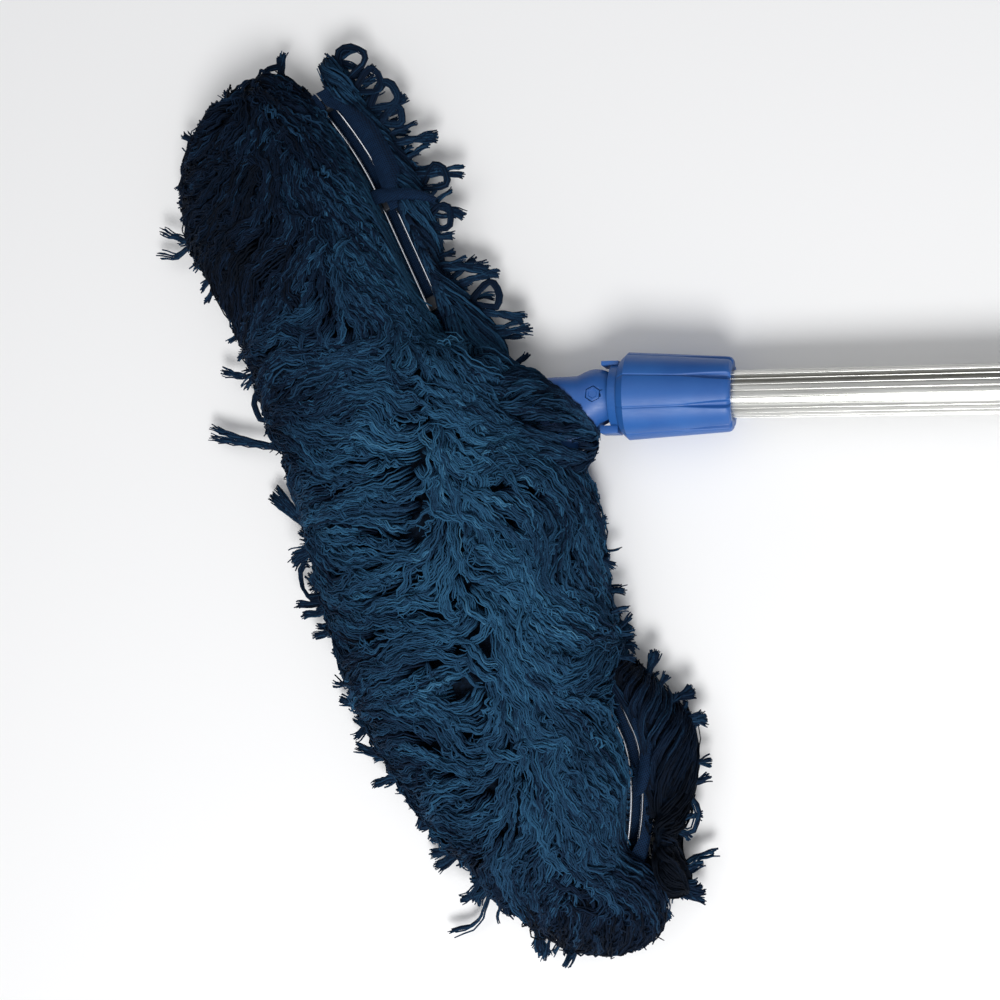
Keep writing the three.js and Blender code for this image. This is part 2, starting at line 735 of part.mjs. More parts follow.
// The woven pocket over half of the frame: open at the hub, closed at the tip,
// with a slit along its upper side.
function backingPocket(side) {
  const skin = flatBar(side, POCKET_START, POCKET_END, POCKET_WIDTH, POCKET_HEIGHT);
  const hollow = flatBar(
    side,
    POCKET_START - 2,
    POCKET_END - CLOTH,
    POCKET_WIDTH - CLOTH,
    POCKET_HEIGHT - CLOTH,
  );
  const ends = [side * (POCKET_START + 18), side * (FRAME_HALF_LENGTH - 24)].sort((a, b) => a - b);
  const slit = box(
    [-HUB_DISTANCE - bow(ends[side > 0 ? 1 : 0]) - 4.6, ends[0], 2],
    [-HUB_DISTANCE + 4.6, ends[1], 10],
  );
  return skin.subtract(hollow).subtract(slit);
}

// The strip of backing that wraps the hub, open to the rear for the neck.
function backingMiddle() {
  const end = POCKET_START - GAP;
  const rear = -HUB_DISTANCE + 6.6;
  const wrap = box([-HUB_DISTANCE - 9.6, -end, -8.2], [rear, end, 8.2]);
  const inside = box([-HUB_DISTANCE - 8.2, -end - 1, -6.8], [rear + 1, end + 1, 6.8]);
  return wrap.subtract(inside);
}

function frontReach(s) {
  const share = THREE.MathUtils.smoothstep(-s, -60, 60);
  return THREE.MathUtils.lerp(UPPER_FRONT_REACH, LOWER_FRONT_REACH, share);
}

// One cross-section of the pile: flat on the ground, crested in front of the frame.
function pileSection(s) {
  const end = Math.max(Math.abs(s) - 0.6 * PILE_HALF_LENGTH, 0) / (0.4 * PILE_HALF_LENGTH);
  const round = Math.sqrt(Math.max(1 - end ** 2, 0.06));
  const centre = 0.35 * frontReach(s);
  const front = centre + (frontReach(s) - centre) * round;
  const rear = centre + (-REAR_REACH - centre) * round;
  const top = THREE.MathUtils.lerp(8, PILE_HEIGHT, round);
  const outline = [
    [rear + 4, -GROUND],
    [front - 10, -GROUND],
    [front, -GROUND + 10],
    [front, -GROUND + 24],
    [0.75 * front + 0.25 * centre, 0.75 * top],
    [centre + 8, top],
    [centre - 14, top],
    [rear + 14, 0.45 * top],
    [rear, 2],
    [rear, -GROUND + 8],
  ];
  return outline.map(([f, z]) => headPoint(s, f, z));
}

function pileBody(low, high, count) {
  const rings = [];
  for (let i = 0; i <= count; i++) {
    const s = THREE.MathUtils.lerp(low, high, i / count);
    rings.push(pileSection(s));
  }
  return loft(rings);
}

const ABOVE = 90; // height past everything, for open grooves

// Half of the pile, with an open groove that the backing lies in.
function pileWing(side) {
  const inner = PILE_MIDDLE_HALF + GAP;
  const body = side > 0 ? pileBody(inner, PILE_HALF_LENGTH, 7) : pileBody(-PILE_HALF_LENGTH, -inner, 7);
  const width = POCKET_WIDTH + 0.6;
  const bottom = -POCKET_HEIGHT - 0.6;
  const rings = stations(POCKET_START - 2, POCKET_END + 0.6).map((along) => {
    const s = side * along;
    const corners = [[-width, bottom], [width, bottom], [width, ABOVE], [-width, ABOVE]];
    return corners.map(([f, z]) => headPoint(s, bow(s) + f, z));
  });
  return body.subtract(loft(rings));
}

function pileMiddle() {
  const body = pileBody(-PILE_MIDDLE_HALF, PILE_MIDDLE_HALF, 4);
  const neckRoom = box([-HUB_DISTANCE - 10.4, -POCKET_START - 1, -15], [0, POCKET_START + 1, ABOVE]);
  const channel = box(
    [-HUB_DISTANCE - POCKET_WIDTH - 0.6, -60, -POCKET_HEIGHT - 0.6],
    [-HUB_DISTANCE + POCKET_WIDTH + 0.6, 60, ABOVE],
  );
  return body.subtract(neckRoom).subtract(channel);
}

// ---- assembly ----

const head = new THREE.Group();
head.rotation.z = THREE.MathUtils.degToRad(HEAD_TILT);
head.add(
  piece("pivot_bolt", pivotBolt(), BLUE_PLASTIC),
  piece("pivot_nut", pivotNut(), STEEL),
  piece("friction_washer_top", frictionWasher(1), GREY_PLASTIC),
  piece("friction_washer_bottom", frictionWasher(-1), GREY_PLASTIC),
  piece("neck_shell_top", neckShell(1), BLUE_PLASTIC),
  piece("neck_shell_bottom", neckShell(-1), BLUE_PLASTIC),
  piece("frame_hub", frameHub(), DARK_PLASTIC),
  piece("backing_middle", backingMiddle(), BACKING),
  piece("pile_middle", pileMiddle(), YARN),
);
SCREW_SPOTS.forEach((spot, i) => {
  head.add(piece(`neck_screw_${i + 1}`, neckScrew(spot), STEEL));
});
for (const [name, side, spacers] of [["upper", 1, UPPER_SPACERS], ["lower", -1, LOWER_SPACERS]]) {
  head.add(
    piece(`${name}_frame_wire`, hairpin(side, WIRE_RADIUS, WIRE_ROOT), STEEL),
    piece(`${name}_tip_guard`, tipGuard(side), DARK_PLASTIC),
    piece(`backing_${name}`, backingPocket(side), BACKING),
    piece(`pile_${name}`, pileWing(side), YARN),
  );
  spacers.forEach((at, i) => {
    head.add(piece(`${name}_wire_spacer_${i + 1}`, spacer(side, at), DARK_PLASTIC));
  });
}

const duster = new THREE.Group();
duster.add(
  piece("pole_outer_tube", ring(OUTER_START, OUTER_END, OUTER_BORE, OUTER_RADIUS, 40), ALUMINIUM),
  piece("hand_grip", handGrip(), RUBBER),
  piece("end_cap", endCap(), BLUE_PLASTIC),
  piece("tele_lock_body", lockBody(), DARK_PLASTIC),
  piece("tele_clamp_ring", clampRing(), GREY_PLASTIC),
  piece("tele_lock_nut", lockNut(), BLUE_PLASTIC),
  piece("pole_inner_tube", innerTube(), ALUMINIUM),
  piece("inner_guide_bush", guideBush(), DARK_PLASTIC),
  piece("adaptor_core", adaptorCore(), BLUE_PLASTIC),
  piece("adaptor_collet", adaptorCollet(), GREY_PLASTIC),
  piece("wedge_ring", wedgeRing(), GREY_PLASTIC),
  piece("locking_collar", lockingCollar(), BLUE_PLASTIC),
  head,
);

// The origin is under the middle of the whole duster, on the ground.
duster.updateMatrixWorld(true);
const extent = new THREE.Box3().setFromObject(duster, true);
const middle = extent.getCenter(new THREE.Vector3());
duster.position.set(-middle.x, -middle.y, -extent.min.z);

export default duster;
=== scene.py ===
"""The looks of the long-handled yarn duster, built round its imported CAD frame. Blender 4.5."""

import itertools
import json
import math

import bmesh
import bpy
import numpy as np
from mathutils import Matrix, Vector


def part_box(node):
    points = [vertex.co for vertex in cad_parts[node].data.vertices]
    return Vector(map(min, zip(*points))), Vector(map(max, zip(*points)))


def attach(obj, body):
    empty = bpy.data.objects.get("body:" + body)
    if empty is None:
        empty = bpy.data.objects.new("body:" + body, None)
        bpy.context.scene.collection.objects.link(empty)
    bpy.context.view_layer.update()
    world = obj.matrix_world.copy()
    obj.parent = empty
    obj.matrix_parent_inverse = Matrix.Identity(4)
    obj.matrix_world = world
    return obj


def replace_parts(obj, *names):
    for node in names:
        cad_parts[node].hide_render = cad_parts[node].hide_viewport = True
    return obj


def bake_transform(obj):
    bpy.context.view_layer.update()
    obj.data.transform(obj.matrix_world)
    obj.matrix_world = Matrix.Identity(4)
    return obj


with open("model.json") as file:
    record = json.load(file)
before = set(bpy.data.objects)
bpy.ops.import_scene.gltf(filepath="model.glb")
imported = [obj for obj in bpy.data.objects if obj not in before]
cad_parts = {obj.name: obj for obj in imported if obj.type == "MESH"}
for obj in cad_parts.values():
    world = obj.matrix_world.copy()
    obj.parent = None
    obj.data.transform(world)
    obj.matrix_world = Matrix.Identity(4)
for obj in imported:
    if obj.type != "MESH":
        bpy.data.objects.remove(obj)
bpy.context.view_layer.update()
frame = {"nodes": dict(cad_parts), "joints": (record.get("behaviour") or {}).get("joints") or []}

MM = 0.001
TURN = 2 * math.pi


# ---- places taken from the frame ----


def joint_place(name):
    """Where a joint's axis is, in metres."""
    joint = next(j for j in frame["joints"] if j["name"] == name)
    return np.array(joint["pos_m"])


def unit(vector):
    return np.asarray(vector, float) / np.linalg.norm(vector)


def step_up(value, low, high):
    """A smooth rise from 0 at low to 1 at high."""
    t = np.clip((value - low) / (high - low), 0, 1)
    return t * t * (3 - 2 * t)


PIVOT = joint_place("head_tilt")
UPPER_HINGE = joint_place("upper_bend")
LOWER_HINGE = joint_place("lower_bend")
UP = np.array([0.0, 0.0, 1.0])
ALONG = unit(UPPER_HINGE - LOWER_HINGE)
FRONT = np.cross(UP, ALONG)
HUB = (UPPER_HINGE + LOWER_HINGE) / 2
HUB_HALF = np.linalg.norm(UPPER_HINGE - LOWER_HINGE) / 2 / MM
HUB_DISTANCE = np.linalg.norm(HUB - PIVOT) / MM
FLOOR = -PIVOT[2] / MM  # height of the ground below the pole's axis


def in_head(points):
    """Head coordinates to metres: s along the frame, f to the front and z up, in mm from the hub."""
    points = np.asarray(points, float) * MM
    return HUB + points[..., 0:1] * ALONG + points[..., 1:2] * FRONT + points[..., 2:3] * UP


def by_pole(points):
    """Pole coordinates to metres: along the pole from the pivot, across and up, in mm."""
    return PIVOT + np.asarray(points, float) * MM


# ---- camera and light ----

VIEW_TILT = 17  # degrees that the camera leans towards the pole
VIEW_DROP = 3
VIEW_ROLL = 0.99
VIEW_DISTANCE = 0.7
VIEW_LENS = 45.84
VIEW_TARGET = (-54.3, -55.7, 0)  # mm from the pivot, in pole coordinates


def make_camera():
    towards = unit([math.tan(math.radians(VIEW_TILT)), -math.tan(math.radians(VIEW_DROP)), 1])
    right = unit(np.cross(-towards, [0, 1, 0]))
    above = np.cross(right, -towards)
    roll = math.radians(VIEW_ROLL)
    across = math.cos(roll) * right + math.sin(roll) * above
    upright = -math.sin(roll) * right + math.cos(roll) * above
    place = by_pole(VIEW_TARGET) + VIEW_DISTANCE * towards
    camera = bpy.data.objects.new("camera", bpy.data.cameras.new("camera"))
    camera.data.lens = VIEW_LENS
    camera.data.sensor_width = 36
    camera.data.clip_start = 0.01
    camera.matrix_world = Matrix(
        [[across[i], upright[i], towards[i], place[i]] for i in range(3)] + [[0, 0, 0, 1]]
    )
    bpy.context.scene.collection.objects.link(camera)
    bpy.context.scene.camera = camera


def area_light(name, place, aim, size, power):
    light = bpy.data.lights.new(name, "AREA")
    light.shape = "DISK"
    light.size = size
    light.energy = power
    lamp = bpy.data.objects.new(name, light)
    lamp.location = place
    lamp.rotation_mode = "QUATERNION"
    lamp.rotation_quaternion = (Vector(aim) - Vector(place)).to_track_quat("-Z", "Y")
    bpy.context.scene.collection.objects.link(lamp)


def make_world():
    """A bright room, dark low down and to the side that the pivot faces away from."""
    world = bpy.data.worlds.new("studio")
    bpy.context.scene.world = world
    world.use_nodes = True
    nodes, links = world.node_tree.nodes, world.node_tree.links
    place = nodes.new("ShaderNodeTexCoord")
    weigh = nodes.new("ShaderNodeVectorMath")
    weigh.operation = "DOT_PRODUCT"
    weigh.inputs[1].default_value = (0.0, -0.5, 0.55)
    lift = nodes.new("ShaderNodeMath")
    lift.inputs[1].default_value = 0.25
    ramp = nodes.new("ShaderNodeValToRGB")
    ramp.color_ramp.elements[0].position = 0.12
    ramp.color_ramp.elements[0].color = (0.13, 0.125, 0.1, 1)
    ramp.color_ramp.elements[1].position = 0.5
    ramp.color_ramp.elements[1].color = (0.96, 0.97, 1.0, 1)
    links.new(place.outputs["Generated"], weigh.inputs[0])
    links.new(weigh.outputs["Value"], lift.inputs[0])
    links.new(lift.outputs["Value"], ramp.inputs["Fac"])
    links.new(ramp.outputs["Color"], nodes["Background"].inputs["Color"])
    nodes["Background"].inputs["Strength"].default_value = 0.52


def make_light():
    make_world()
    aim = tuple(HUB)
    area_light("key", (0.1, -1.15, 1.45), aim, 0.8, 27)
    area_light("fill", (-1.1, 0.6, 1.5), aim, 1.4, 3)
    scene = bpy.context.scene
    scene.view_settings.view_transform = "Standard"
    scene.view_settings.look = "None"


def make_floor():
    size = 6.0
    mesh = bpy.data.meshes.new("floor")
    corners = [(-size, -size, 0), (size, -size, 0), (size, size, 0), (-size, size, 0)]
    mesh.from_pydata(corners, [], [(0, 1, 2, 3)])
    floor = bpy.data.objects.new("floor", mesh)
    bpy.context.scene.collection.objects.link(floor)
    material, shader = new_material("floor", (0.93, 0.93, 0.93), 0.6)
    mesh.materials.append(material)


# ---- materials ----


def srgb(red, green, blue):
    """A colour given as 0 to 255 on a screen, in the linear values that a shader takes."""
    values = [channel / 255 for channel in (red, green, blue)]
    return tuple(v / 12.92 if v <= 0.04045 else ((v + 0.055) / 1.055) ** 2.4 for v in values)


def new_material(name, colour, roughness, metallic=0.0):
    material = bpy.data.materials.new(name)
    material.use_nodes = True
    shader = material.node_tree.nodes["Principled BSDF"]
    shader.inputs["Base Color"].default_value = (*colour, 1)
    shader.inputs["Roughness"].default_value = roughness
    shader.inputs["Metallic"].default_value = metallic
    return material, shader


class Nodes:
    """Short forms for the nodes of one material, whose textures all read the object's own place."""

    def __init__(self, material):
        self.tree = material.node_tree
        self.place = self.tree.nodes.new("ShaderNodeTexCoord").outputs["Object"]

    def link(self, source, target):
        self.tree.links.new(source, target)

    def scaled(self, scale):
        mapping = self.tree.nodes.new("ShaderNodeMapping")
        mapping.inputs["Scale"].default_value = scale
        self.link(self.place, mapping.inputs["Vector"])
        return mapping.outputs["Vector"]

    def noise(self, scale, detail=3, stretch=(1, 1, 1)):
        node = self.tree.nodes.new("ShaderNodeTexNoise")
        node.inputs["Scale"].default_value = scale
        node.inputs["Detail"].default_value = detail
        self.link(self.scaled(stretch), node.inputs["Vector"])
        return node.outputs["Fac"]

    def bands(self, scale, direction, wander):
        node = self.tree.nodes.new("ShaderNodeTexWave")
        node.bands_direction = direction
        node.inputs["Scale"].default_value = scale
        node.inputs["Distortion"].default_value = wander
        self.link(self.scaled((1, 1, 1)), node.inputs["Vector"])
        return node.outputs["Fac"]

    def attribute(self, name):
        node = self.tree.nodes.new("ShaderNodeAttribute")
        node.attribute_name = name
        return node.outputs["Fac"]

    def math(self, operation, first, second):
        node = self.tree.nodes.new("ShaderNodeMath")
        node.operation = operation
        for socket, value in zip(node.inputs, (first, second)):
            if isinstance(value, (int, float)):
                socket.default_value = value
            else:
                self.link(value, socket)
        return node.outputs["Value"]

    def ramp(self, amount, stops):
        node = self.tree.nodes.new("ShaderNodeValToRGB")
        elements = node.color_ramp.elements
        while len(elements) < len(stops):
            elements.new(0.5)
        for element, (position, colour) in zip(elements, stops):
            element.position = position
            element.color = (*colour, 1)
        self.link(amount, node.inputs["Fac"])
        return node.outputs["Color"]

    def spread(self, amount, low, high):
        """A value of 0 to 1 brought to low to high."""
        node = self.tree.nodes.new("ShaderNodeMapRange")
        node.inputs["To Min"].default_value = low
        node.inputs["To Max"].default_value = high
        self.link(amount, node.inputs["Value"])
        return node.outputs["Result"]

    def bump(self, height, depth, strength=1.0, under=None):
        node = self.tree.nodes.new("ShaderNodeBump")
        node.inputs["Strength"].default_value = strength
        node.inputs["Distance"].default_value = depth
        self.link(height, node.inputs["Height"])
        if under is not None:
            self.link(under, node.inputs["Normal"])
        return node.outputs["Normal"]


def plastic(name, colour, dark, roughness):
    """Moulded plastic: a fine spark-eroded grain, a slow drift in colour and scuffs that dull the gloss."""
    material, shader = new_material(name, colour, roughness)
    n = Nodes(material)
    drift = n.noise(28, 4)
    n.link(n.ramp(drift, [(0.3, dark), (0.62, colour)]), shader.inputs["Base Color"])
    scuffs = n.noise(160, 6, (1, 5, 5))
    n.link(n.spread(scuffs, roughness - 0.1, roughness + 0.16), shader.inputs["Roughness"])
    fine = n.bump(n.noise(2600, 2), 0.00003, 0.35)
    n.link(n.bump(drift, 0.0002, 0.25, fine), shader.inputs["Normal"])
    shader.inputs["IOR"].default_value = 1.5
    return material


def brushed_metal(name, colour, dark, roughness, stretch):
    """Drawn or brushed metal, with streaks along its length and a faint handled dullness."""
    material, shader = new_material(name, colour, roughness, 1.0)
    n = Nodes(material)
    streaks = n.noise(900, 5, stretch)
    haze = n.noise(22, 4)
    n.link(n.ramp(streaks, [(0.3, dark), (0.7, colour)]), shader.inputs["Base Color"])
    mixed = n.math("ADD", n.spread(streaks, -0.06, 0.08), n.spread(haze, -0.04, 0.06))
    n.link(n.math("ADD", mixed, roughness), shader.inputs["Roughness"])
    n.link(n.bump(streaks, 0.00003, 0.3), shader.inputs["Normal"])
    return material


def rubber_grip():
    material, shader = new_material("rubber_grip", srgb(38, 40, 44), 0.8)
    n = Nodes(material)
    dust = n.noise(60, 5)
    n.link(n.ramp(dust, [(0.35, srgb(26, 28, 31)), (0.7, srgb(46, 49, 53))]), shader.inputs["Base Color"])
    n.link(n.spread(dust, 0.68, 0.92), shader.inputs["Roughness"])
    n.link(n.bump(n.noise(1500, 3), 0.00008, 0.6), shader.inputs["Normal"])
    return material


WEAVE_PITCH = 1.1 * MM  # between two threads of the backing


def woven_cloth():
    """A plain weave of navy thread: warp and weft ridges, slubs, and a soft sheen."""
    material, shader = new_material("woven_cloth", srgb(7, 23, 46), 0.85)
    n = Nodes(material)
    turned = n.tree.nodes.new("ShaderNodeMapping")
    turned.inputs["Rotation"].default_value = (0, 0, -math.atan2(FRONT[1], FRONT[0]))
    n.link(n.place, turned.inputs["Vector"])
    n.place = turned.outputs["Vector"]
    scale = TURN / WEAVE_PITCH / 20
    warp = n.bands(scale, "X", 0.6)
    weft = n.bands(scale, "Y", 0.6)
    threads = n.math("MAXIMUM", warp, weft)
    slubs = n.noise(300, 4, (1, 4, 1))
    tone = n.math("ADD", n.math("MULTIPLY", threads, 0.6), n.math("MULTIPLY", slubs, 0.5))
    stops = [(0.25, srgb(2, 9, 20)), (0.6, srgb(7, 24, 46)), (0.95, srgb(17, 44, 74))]
    n.link(n.ramp(tone, stops), shader.inputs["Base Color"])
    n.link(n.bump(threads, 0.0002, 0.8), shader.inputs["Normal"])
    shader.inputs["Specular IOR Level"].default_value = 0.12
    shader.inputs["Sheen Weight"].default_value = 0.06
    shader.inputs["Sheen Roughness"].default_value = 0.4
    shader.inputs["Sheen Tint"].default_value = (*srgb(60, 110, 180), 1)
    return material


def yarn_material():
    """Dyed yarn. Each strand carries its tone, which holds its dye together with painted shade and painted light
    by its place in the pile, and plied fibres mottle and ridge it.
    """
    material, shader = new_material("yarn", srgb(24, 48, 70), 0.8)
    n = Nodes(material)
    tone = n.attribute("tone")
    fibres = n.noise(1100, 3)
    mottled = n.math("ADD", tone, n.spread(fibres, -0.16, 0.16))
    stops = [
        (0.0, srgb(3, 9, 20)),
        (0.3, srgb(10, 27, 48)),
        (0.55, srgb(30, 63, 91)),
        (0.8, srgb(43, 88, 120)),
        (1.0, srgb(70, 116, 146)),
    ]
    n.link(n.ramp(mottled, stops), shader.inputs["Base Color"])
    n.link(n.bump(fibres, 0.0002, 0.5), shader.inputs["Normal"])
    shader.inputs["Specular IOR Level"].default_value = 0.1
    shader.inputs["Sheen Weight"].default_value = 0.03
    shader.inputs["Sheen Roughness"].default_value = 0.35
    shader.inputs["Sheen Tint"].default_value = (*srgb(60, 130, 190), 1)
    return material


# ---- mesh helpers ----


def piece_from(name, points, faces, material, smooth=True):
    """A new object with its mesh in metres in the row frame."""
    mesh = bpy.data.meshes.new(name)
    mesh.from_pydata(np.asarray(points, float).reshape(-1, 3), [], faces)
    mesh.polygons.foreach_set("use_smooth", np.full(len(mesh.polygons), smooth))
    mesh.materials.append(material)
    mesh.validate()
    mesh.update()
    piece = bpy.data.objects.new(name, mesh)
    bpy.context.scene.collection.objects.link(piece)
    return piece


def ring_faces(rings, around, closed=False):
    """Quads between rings of equally many points, and an end face each unless the rings close up."""
    faces = []
    last = rings if closed else rings - 1
    for i in range(last):
        here = i * around
        there = ((i + 1) % rings) * around
        for j in range(around):
            following = (j + 1) % around
            faces.append((here + j, here + following, there + following, there + j))
    if not closed:
        faces.append(tuple(range(around - 1, -1, -1)))
        faces.append(tuple((rings - 1) * around + j for j in range(around)))
    return faces


def face_outwards(piece):
    shape = bmesh.new()
    shape.from_mesh(piece.data)
    bmesh.ops.recalc_face_normals(shape, faces=shape.faces)
    shape.to_mesh(piece.data)
    shape.free()
    return piece


def angles_round(count):
    return np.arange(count) * TURN / count


def swept(name, profile, angles, material, sharp):
    """A solid round the pole's axis. Its closed profile is [along, radius], a radius for all angles or each."""
    around = len(angles)
    rings = [np.stack([np.full(around, x), r * np.cos(angles), r * np.sin(angles)], axis=1) for x, r in profile]
    faces = ring_faces(len(profile), around, closed=True)
    piece = face_outwards(piece_from(name, by_pole(np.concatenate(rings)), faces, material))
    return crisp(piece, sharp)


def turned(name, profile, material):
    return swept(name, profile, angles_round(128), material, 40)


def lofted(name, rings, material):
    """A solid through rings of equally many points, in head coordinates."""
    faces = ring_faces(len(rings), len(rings[0]))
    return face_outwards(piece_from(name, in_head(np.concatenate(rings)), faces, material))


def pole_plate(outline, half, material):
    """A level plate by the pole, of that outline and twice half thick."""
    rings = [np.column_stack([outline, np.full(len(outline), z)]) for z in (-half, half)]
    faces = ring_faces(2, len(outline))
    return face_outwards(piece_from("tool", by_pole(np.concatenate(rings)), faces, material))


def pole_disc(x, radius, half, sides, material):
    angles = angles_round(sides)
    return pole_plate(np.stack([x + radius * np.cos(angles), radius * np.sin(angles)], axis=1), half, material)


def box_corners(low, high):
    return np.array(list(itertools.product(*zip(low, high))), float)


def box_from(points, material):
    faces = [(0, 1, 3, 2), (4, 6, 7, 5), (0, 4, 5, 1), (2, 3, 7, 6), (0, 2, 6, 4), (1, 5, 7, 3)]
    return face_outwards(piece_from("tool", points, faces, material, smooth=False))


def pole_box(low, high, material):
    return box_from(by_pole(box_corners(low, high)), material)


def crisp(piece, degrees=35):
    """Smooth faces with edges over that many degrees left sharp."""
    piece.data.set_sharp_from_angle(angle=math.radians(degrees))
    return piece


def apply_modifiers(piece):
    made = piece.evaluated_get(bpy.context.evaluated_depsgraph_get())
    mesh = bpy.data.meshes.new_from_object(made)
    piece.modifiers.clear()
    piece.data = mesh
    return piece


def cut(piece, tools, operation="DIFFERENCE"):
    """Booleans a piece with other meshes, which are used up."""
    for tool in tools:
        step = piece.modifiers.new("cut", "BOOLEAN")
        step.operation = operation
        step.solver = "EXACT"
        step.object = tool
        bpy.context.view_layer.update()
        apply_modifiers(piece)
        bpy.data.objects.remove(tool)
    return piece


def bevel(piece, width, segments=2, degrees=35):
    step = piece.modifiers.new("bevel", "BEVEL")
    step.width = width * MM
    step.segments = segments
    step.limit_method = "ANGLE"
    step.angle_limit = math.radians(degrees)
    step.harden_normals = True
    return apply_modifiers(piece)


def stand_in(piece, body, slot, *nodes):
    """The piece rides on a body and hides the CAD nodes that it stands for. The slot is not used."""
    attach(piece, body)
    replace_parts(piece, *nodes)
    return piece


def along_pole(node):
    """The first and last place of a CAD node along the pole, in mm from the pivot."""
    low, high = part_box(node)
    return (low.x - PIVOT[0]) / MM, (high.x - PIVOT[0]) / MM


# ---- pole ----

TUBE_RADIUS = 12.5
TUBE_BORE = 11.2
FLUTES = 24
FLUTE_DEPTH = 0.5
FLUTE_HALF_ANGLE = 0.17  # of a flute's pitch
OUTER_TUBE_BORE = 13.3
OUTER_TUBE_RADIUS = 14.5
SLEEVE_BORE = 14.8  # of what fits over the outer tube
LOCK_BORE = 12.8  # of what the fluted tube slides through
GRIP_RADIUS = 17.15
CAP_RADIUS = 17
EYE_RADIUS = 6


def tube_rim(angle):
    """Radius of the fluted tube: round, with a rounded groove at the middle of each pitch."""
    phase = (angle / TURN * FLUTES + 0.5) % 1 - 0.5
    dip = np.clip(1 - (phase / FLUTE_HALF_ANGLE) ** 2, 0, 1)
    return TUBE_RADIUS - FLUTE_DEPTH * np.sqrt(dip)


def fluted_tube(material):
    start, end = along_pole("pole_inner_tube")
    phases = [-0.5, -0.35, -0.25, -0.17, -0.15, -0.11, -0.06, 0, 0.06, 0.11, 0.15, 0.17, 0.25, 0.35]
    angles = np.array([(i + phase) / FLUTES for i in range(FLUTES) for phase in phases]) * TURN
    outer = tube_rim(angles)
    rounding = 0.25
    profile = [(start, TUBE_BORE), (start, outer - rounding), (start + rounding, outer)]
    profile += [(x, outer) for x in np.linspace(start, end, 12)[1:-1]]
    profile += [(end - rounding, outer), (end, outer - rounding), (end, TUBE_BORE)]
    piece = swept("fluted_tube", profile, angles, material, 50)
    stand_in(piece, "pole_inner", "aluminium", "pole_inner_tube")


def plain_tube(material):
    start, end = along_pole("pole_outer_tube")
    bore, outer, rounding = OUTER_TUBE_BORE, OUTER_TUBE_RADIUS, 0.3
    profile = [
        (start, bore),
        (start, outer - rounding),
        (start + rounding, outer),
        (end - rounding, outer),
        (end, outer - rounding),
        (end, bore),
    ]
    piece = turned("plain_tube", profile, material)
    stand_in(piece, "pole_outer", "aluminium", "pole_outer_tube")


def round_profile(points, rounding):
    """A turned profile with each of its corners cut to a small round."""
    points = [np.array(p, float) for p in points]
    made = []
    for before, here, after in zip(points[-1:] + points[:-1], points, points[1:] + points[:1]):
        to_before, to_after = before - here, after - here
        near = min(rounding, 0.45 * np.linalg.norm(to_before), 0.45 * np.linalg.norm(to_after))
        first = here + to_before / np.linalg.norm(to_before) * near
        last = here + to_after / np.linalg.norm(to_after) * near
        made += [first, (first + last + 2 * here) / 4, last]
    return [tuple(p) for p in made]


def lock_body(material):
    start, end = along_pole("tele_lock_body")
    mouth = along_pole("pole_outer_tube")[0] - 0.3
    radius, rim = 17, 19
    profile = [(start, LOCK_BORE), (start, radius), (end - 5, radius), (end - 5, rim), (end, rim)]
    profile += [(end, SLEEVE_BORE), (mouth, SLEEVE_BORE), (mouth, LOCK_BORE)]
    piece = turned("lock_body_skin", round_profile(profile, 0.5), material)
    stand_in(crisp(piece, 35), "pole_outer", "dark_plastic", "tele_lock_body")


def lock_nut(material):
    """The nut of the pole's lock, with rounded finger grooves that run out at its rear."""
    grips, groove, centre = 12, 1.6, 21.4
    start, end = along_pole("tele_lock_nut")
    length = end - start
    angles = angles_round(grips * 24)
    offset = centre * np.sin(((angles / TURN * grips) % 1 - 0.5) * TURN / grips)
    cut_to = centre * np.cos(offset / centre) - np.sqrt(np.clip(groove**2 - offset**2, 0, None))
    cut_to = np.where(np.abs(offset) < groove, cut_to, 99)
    chamber = along_pole("tele_clamp_ring")[0] - 0.3
    last = [length - 1.5, length - 0.6, length]
    places = [0, 0.5, 1.5, 3, 4.5, 5.5, 6.5, 8, *np.linspace(10, last[0], 8), *last[1:]]
    profile = []
    for x in places:
        outer = np.interp(x, [0, 0.5, 3, *last], [18, 18.6, 20.5, 21, 20.7, 20])
        started = float(step_up(x, 3.5, 7))
        depth = np.maximum(outer - cut_to, 0) * started
        profile.append((start + x, outer - depth))
    profile += [(end, 17.8), (end - 0.4, 17.3), (chamber, 17.3), (chamber, 12.9), (start, 12.9)]
    piece = swept("lock_nut_skin", profile, angles, material, 35)
    stand_in(piece, "lock_nut", "blue_plastic", "tele_lock_nut")


def hand_grip(material):
    """The rubber sleeve: six soft waists, fine lengthwise ribs on the lands between them."""
    start, end = along_pole("hand_grip")
    waists, plain, ribs = 6, 8, 40
    angles = angles_round(ribs * 8)
    rib = 0.12 * np.cos(angles * ribs)
    length = end - start
    profile = []
    last = [length - 3, length - 1.6, length - 0.6, length]
    for x in np.concatenate([[0, 0.6, 1.6, 3], np.linspace(4, length - 4, 150), last]):
        near_end = min(x, length - x)
        lip = 1.3 * (1 - math.sqrt(max(1 - (1 - min(near_end / 3, 1)) ** 2, 0)))
        phase = (x - plain) / (length - 2 * plain) * waists
        inside = 0 < phase < waists
        waist = 0.95 * float(step_up(0.5 - 0.5 * math.cos(TURN * (phase + 0.125)), 0.25, 0.75)) if inside else 0
        land = max(0, 1 - waist * 1.4) * min(near_end / 4, 1)
        profile.append((start + x, GRIP_RADIUS - lip - waist + rib * land))
    profile += [(end, SLEEVE_BORE), (start, SLEEVE_BORE)]
    piece = swept("grip_sleeve", profile, angles, material, 50)
    stand_in(piece, "pole_outer", "rubber", "hand_grip")


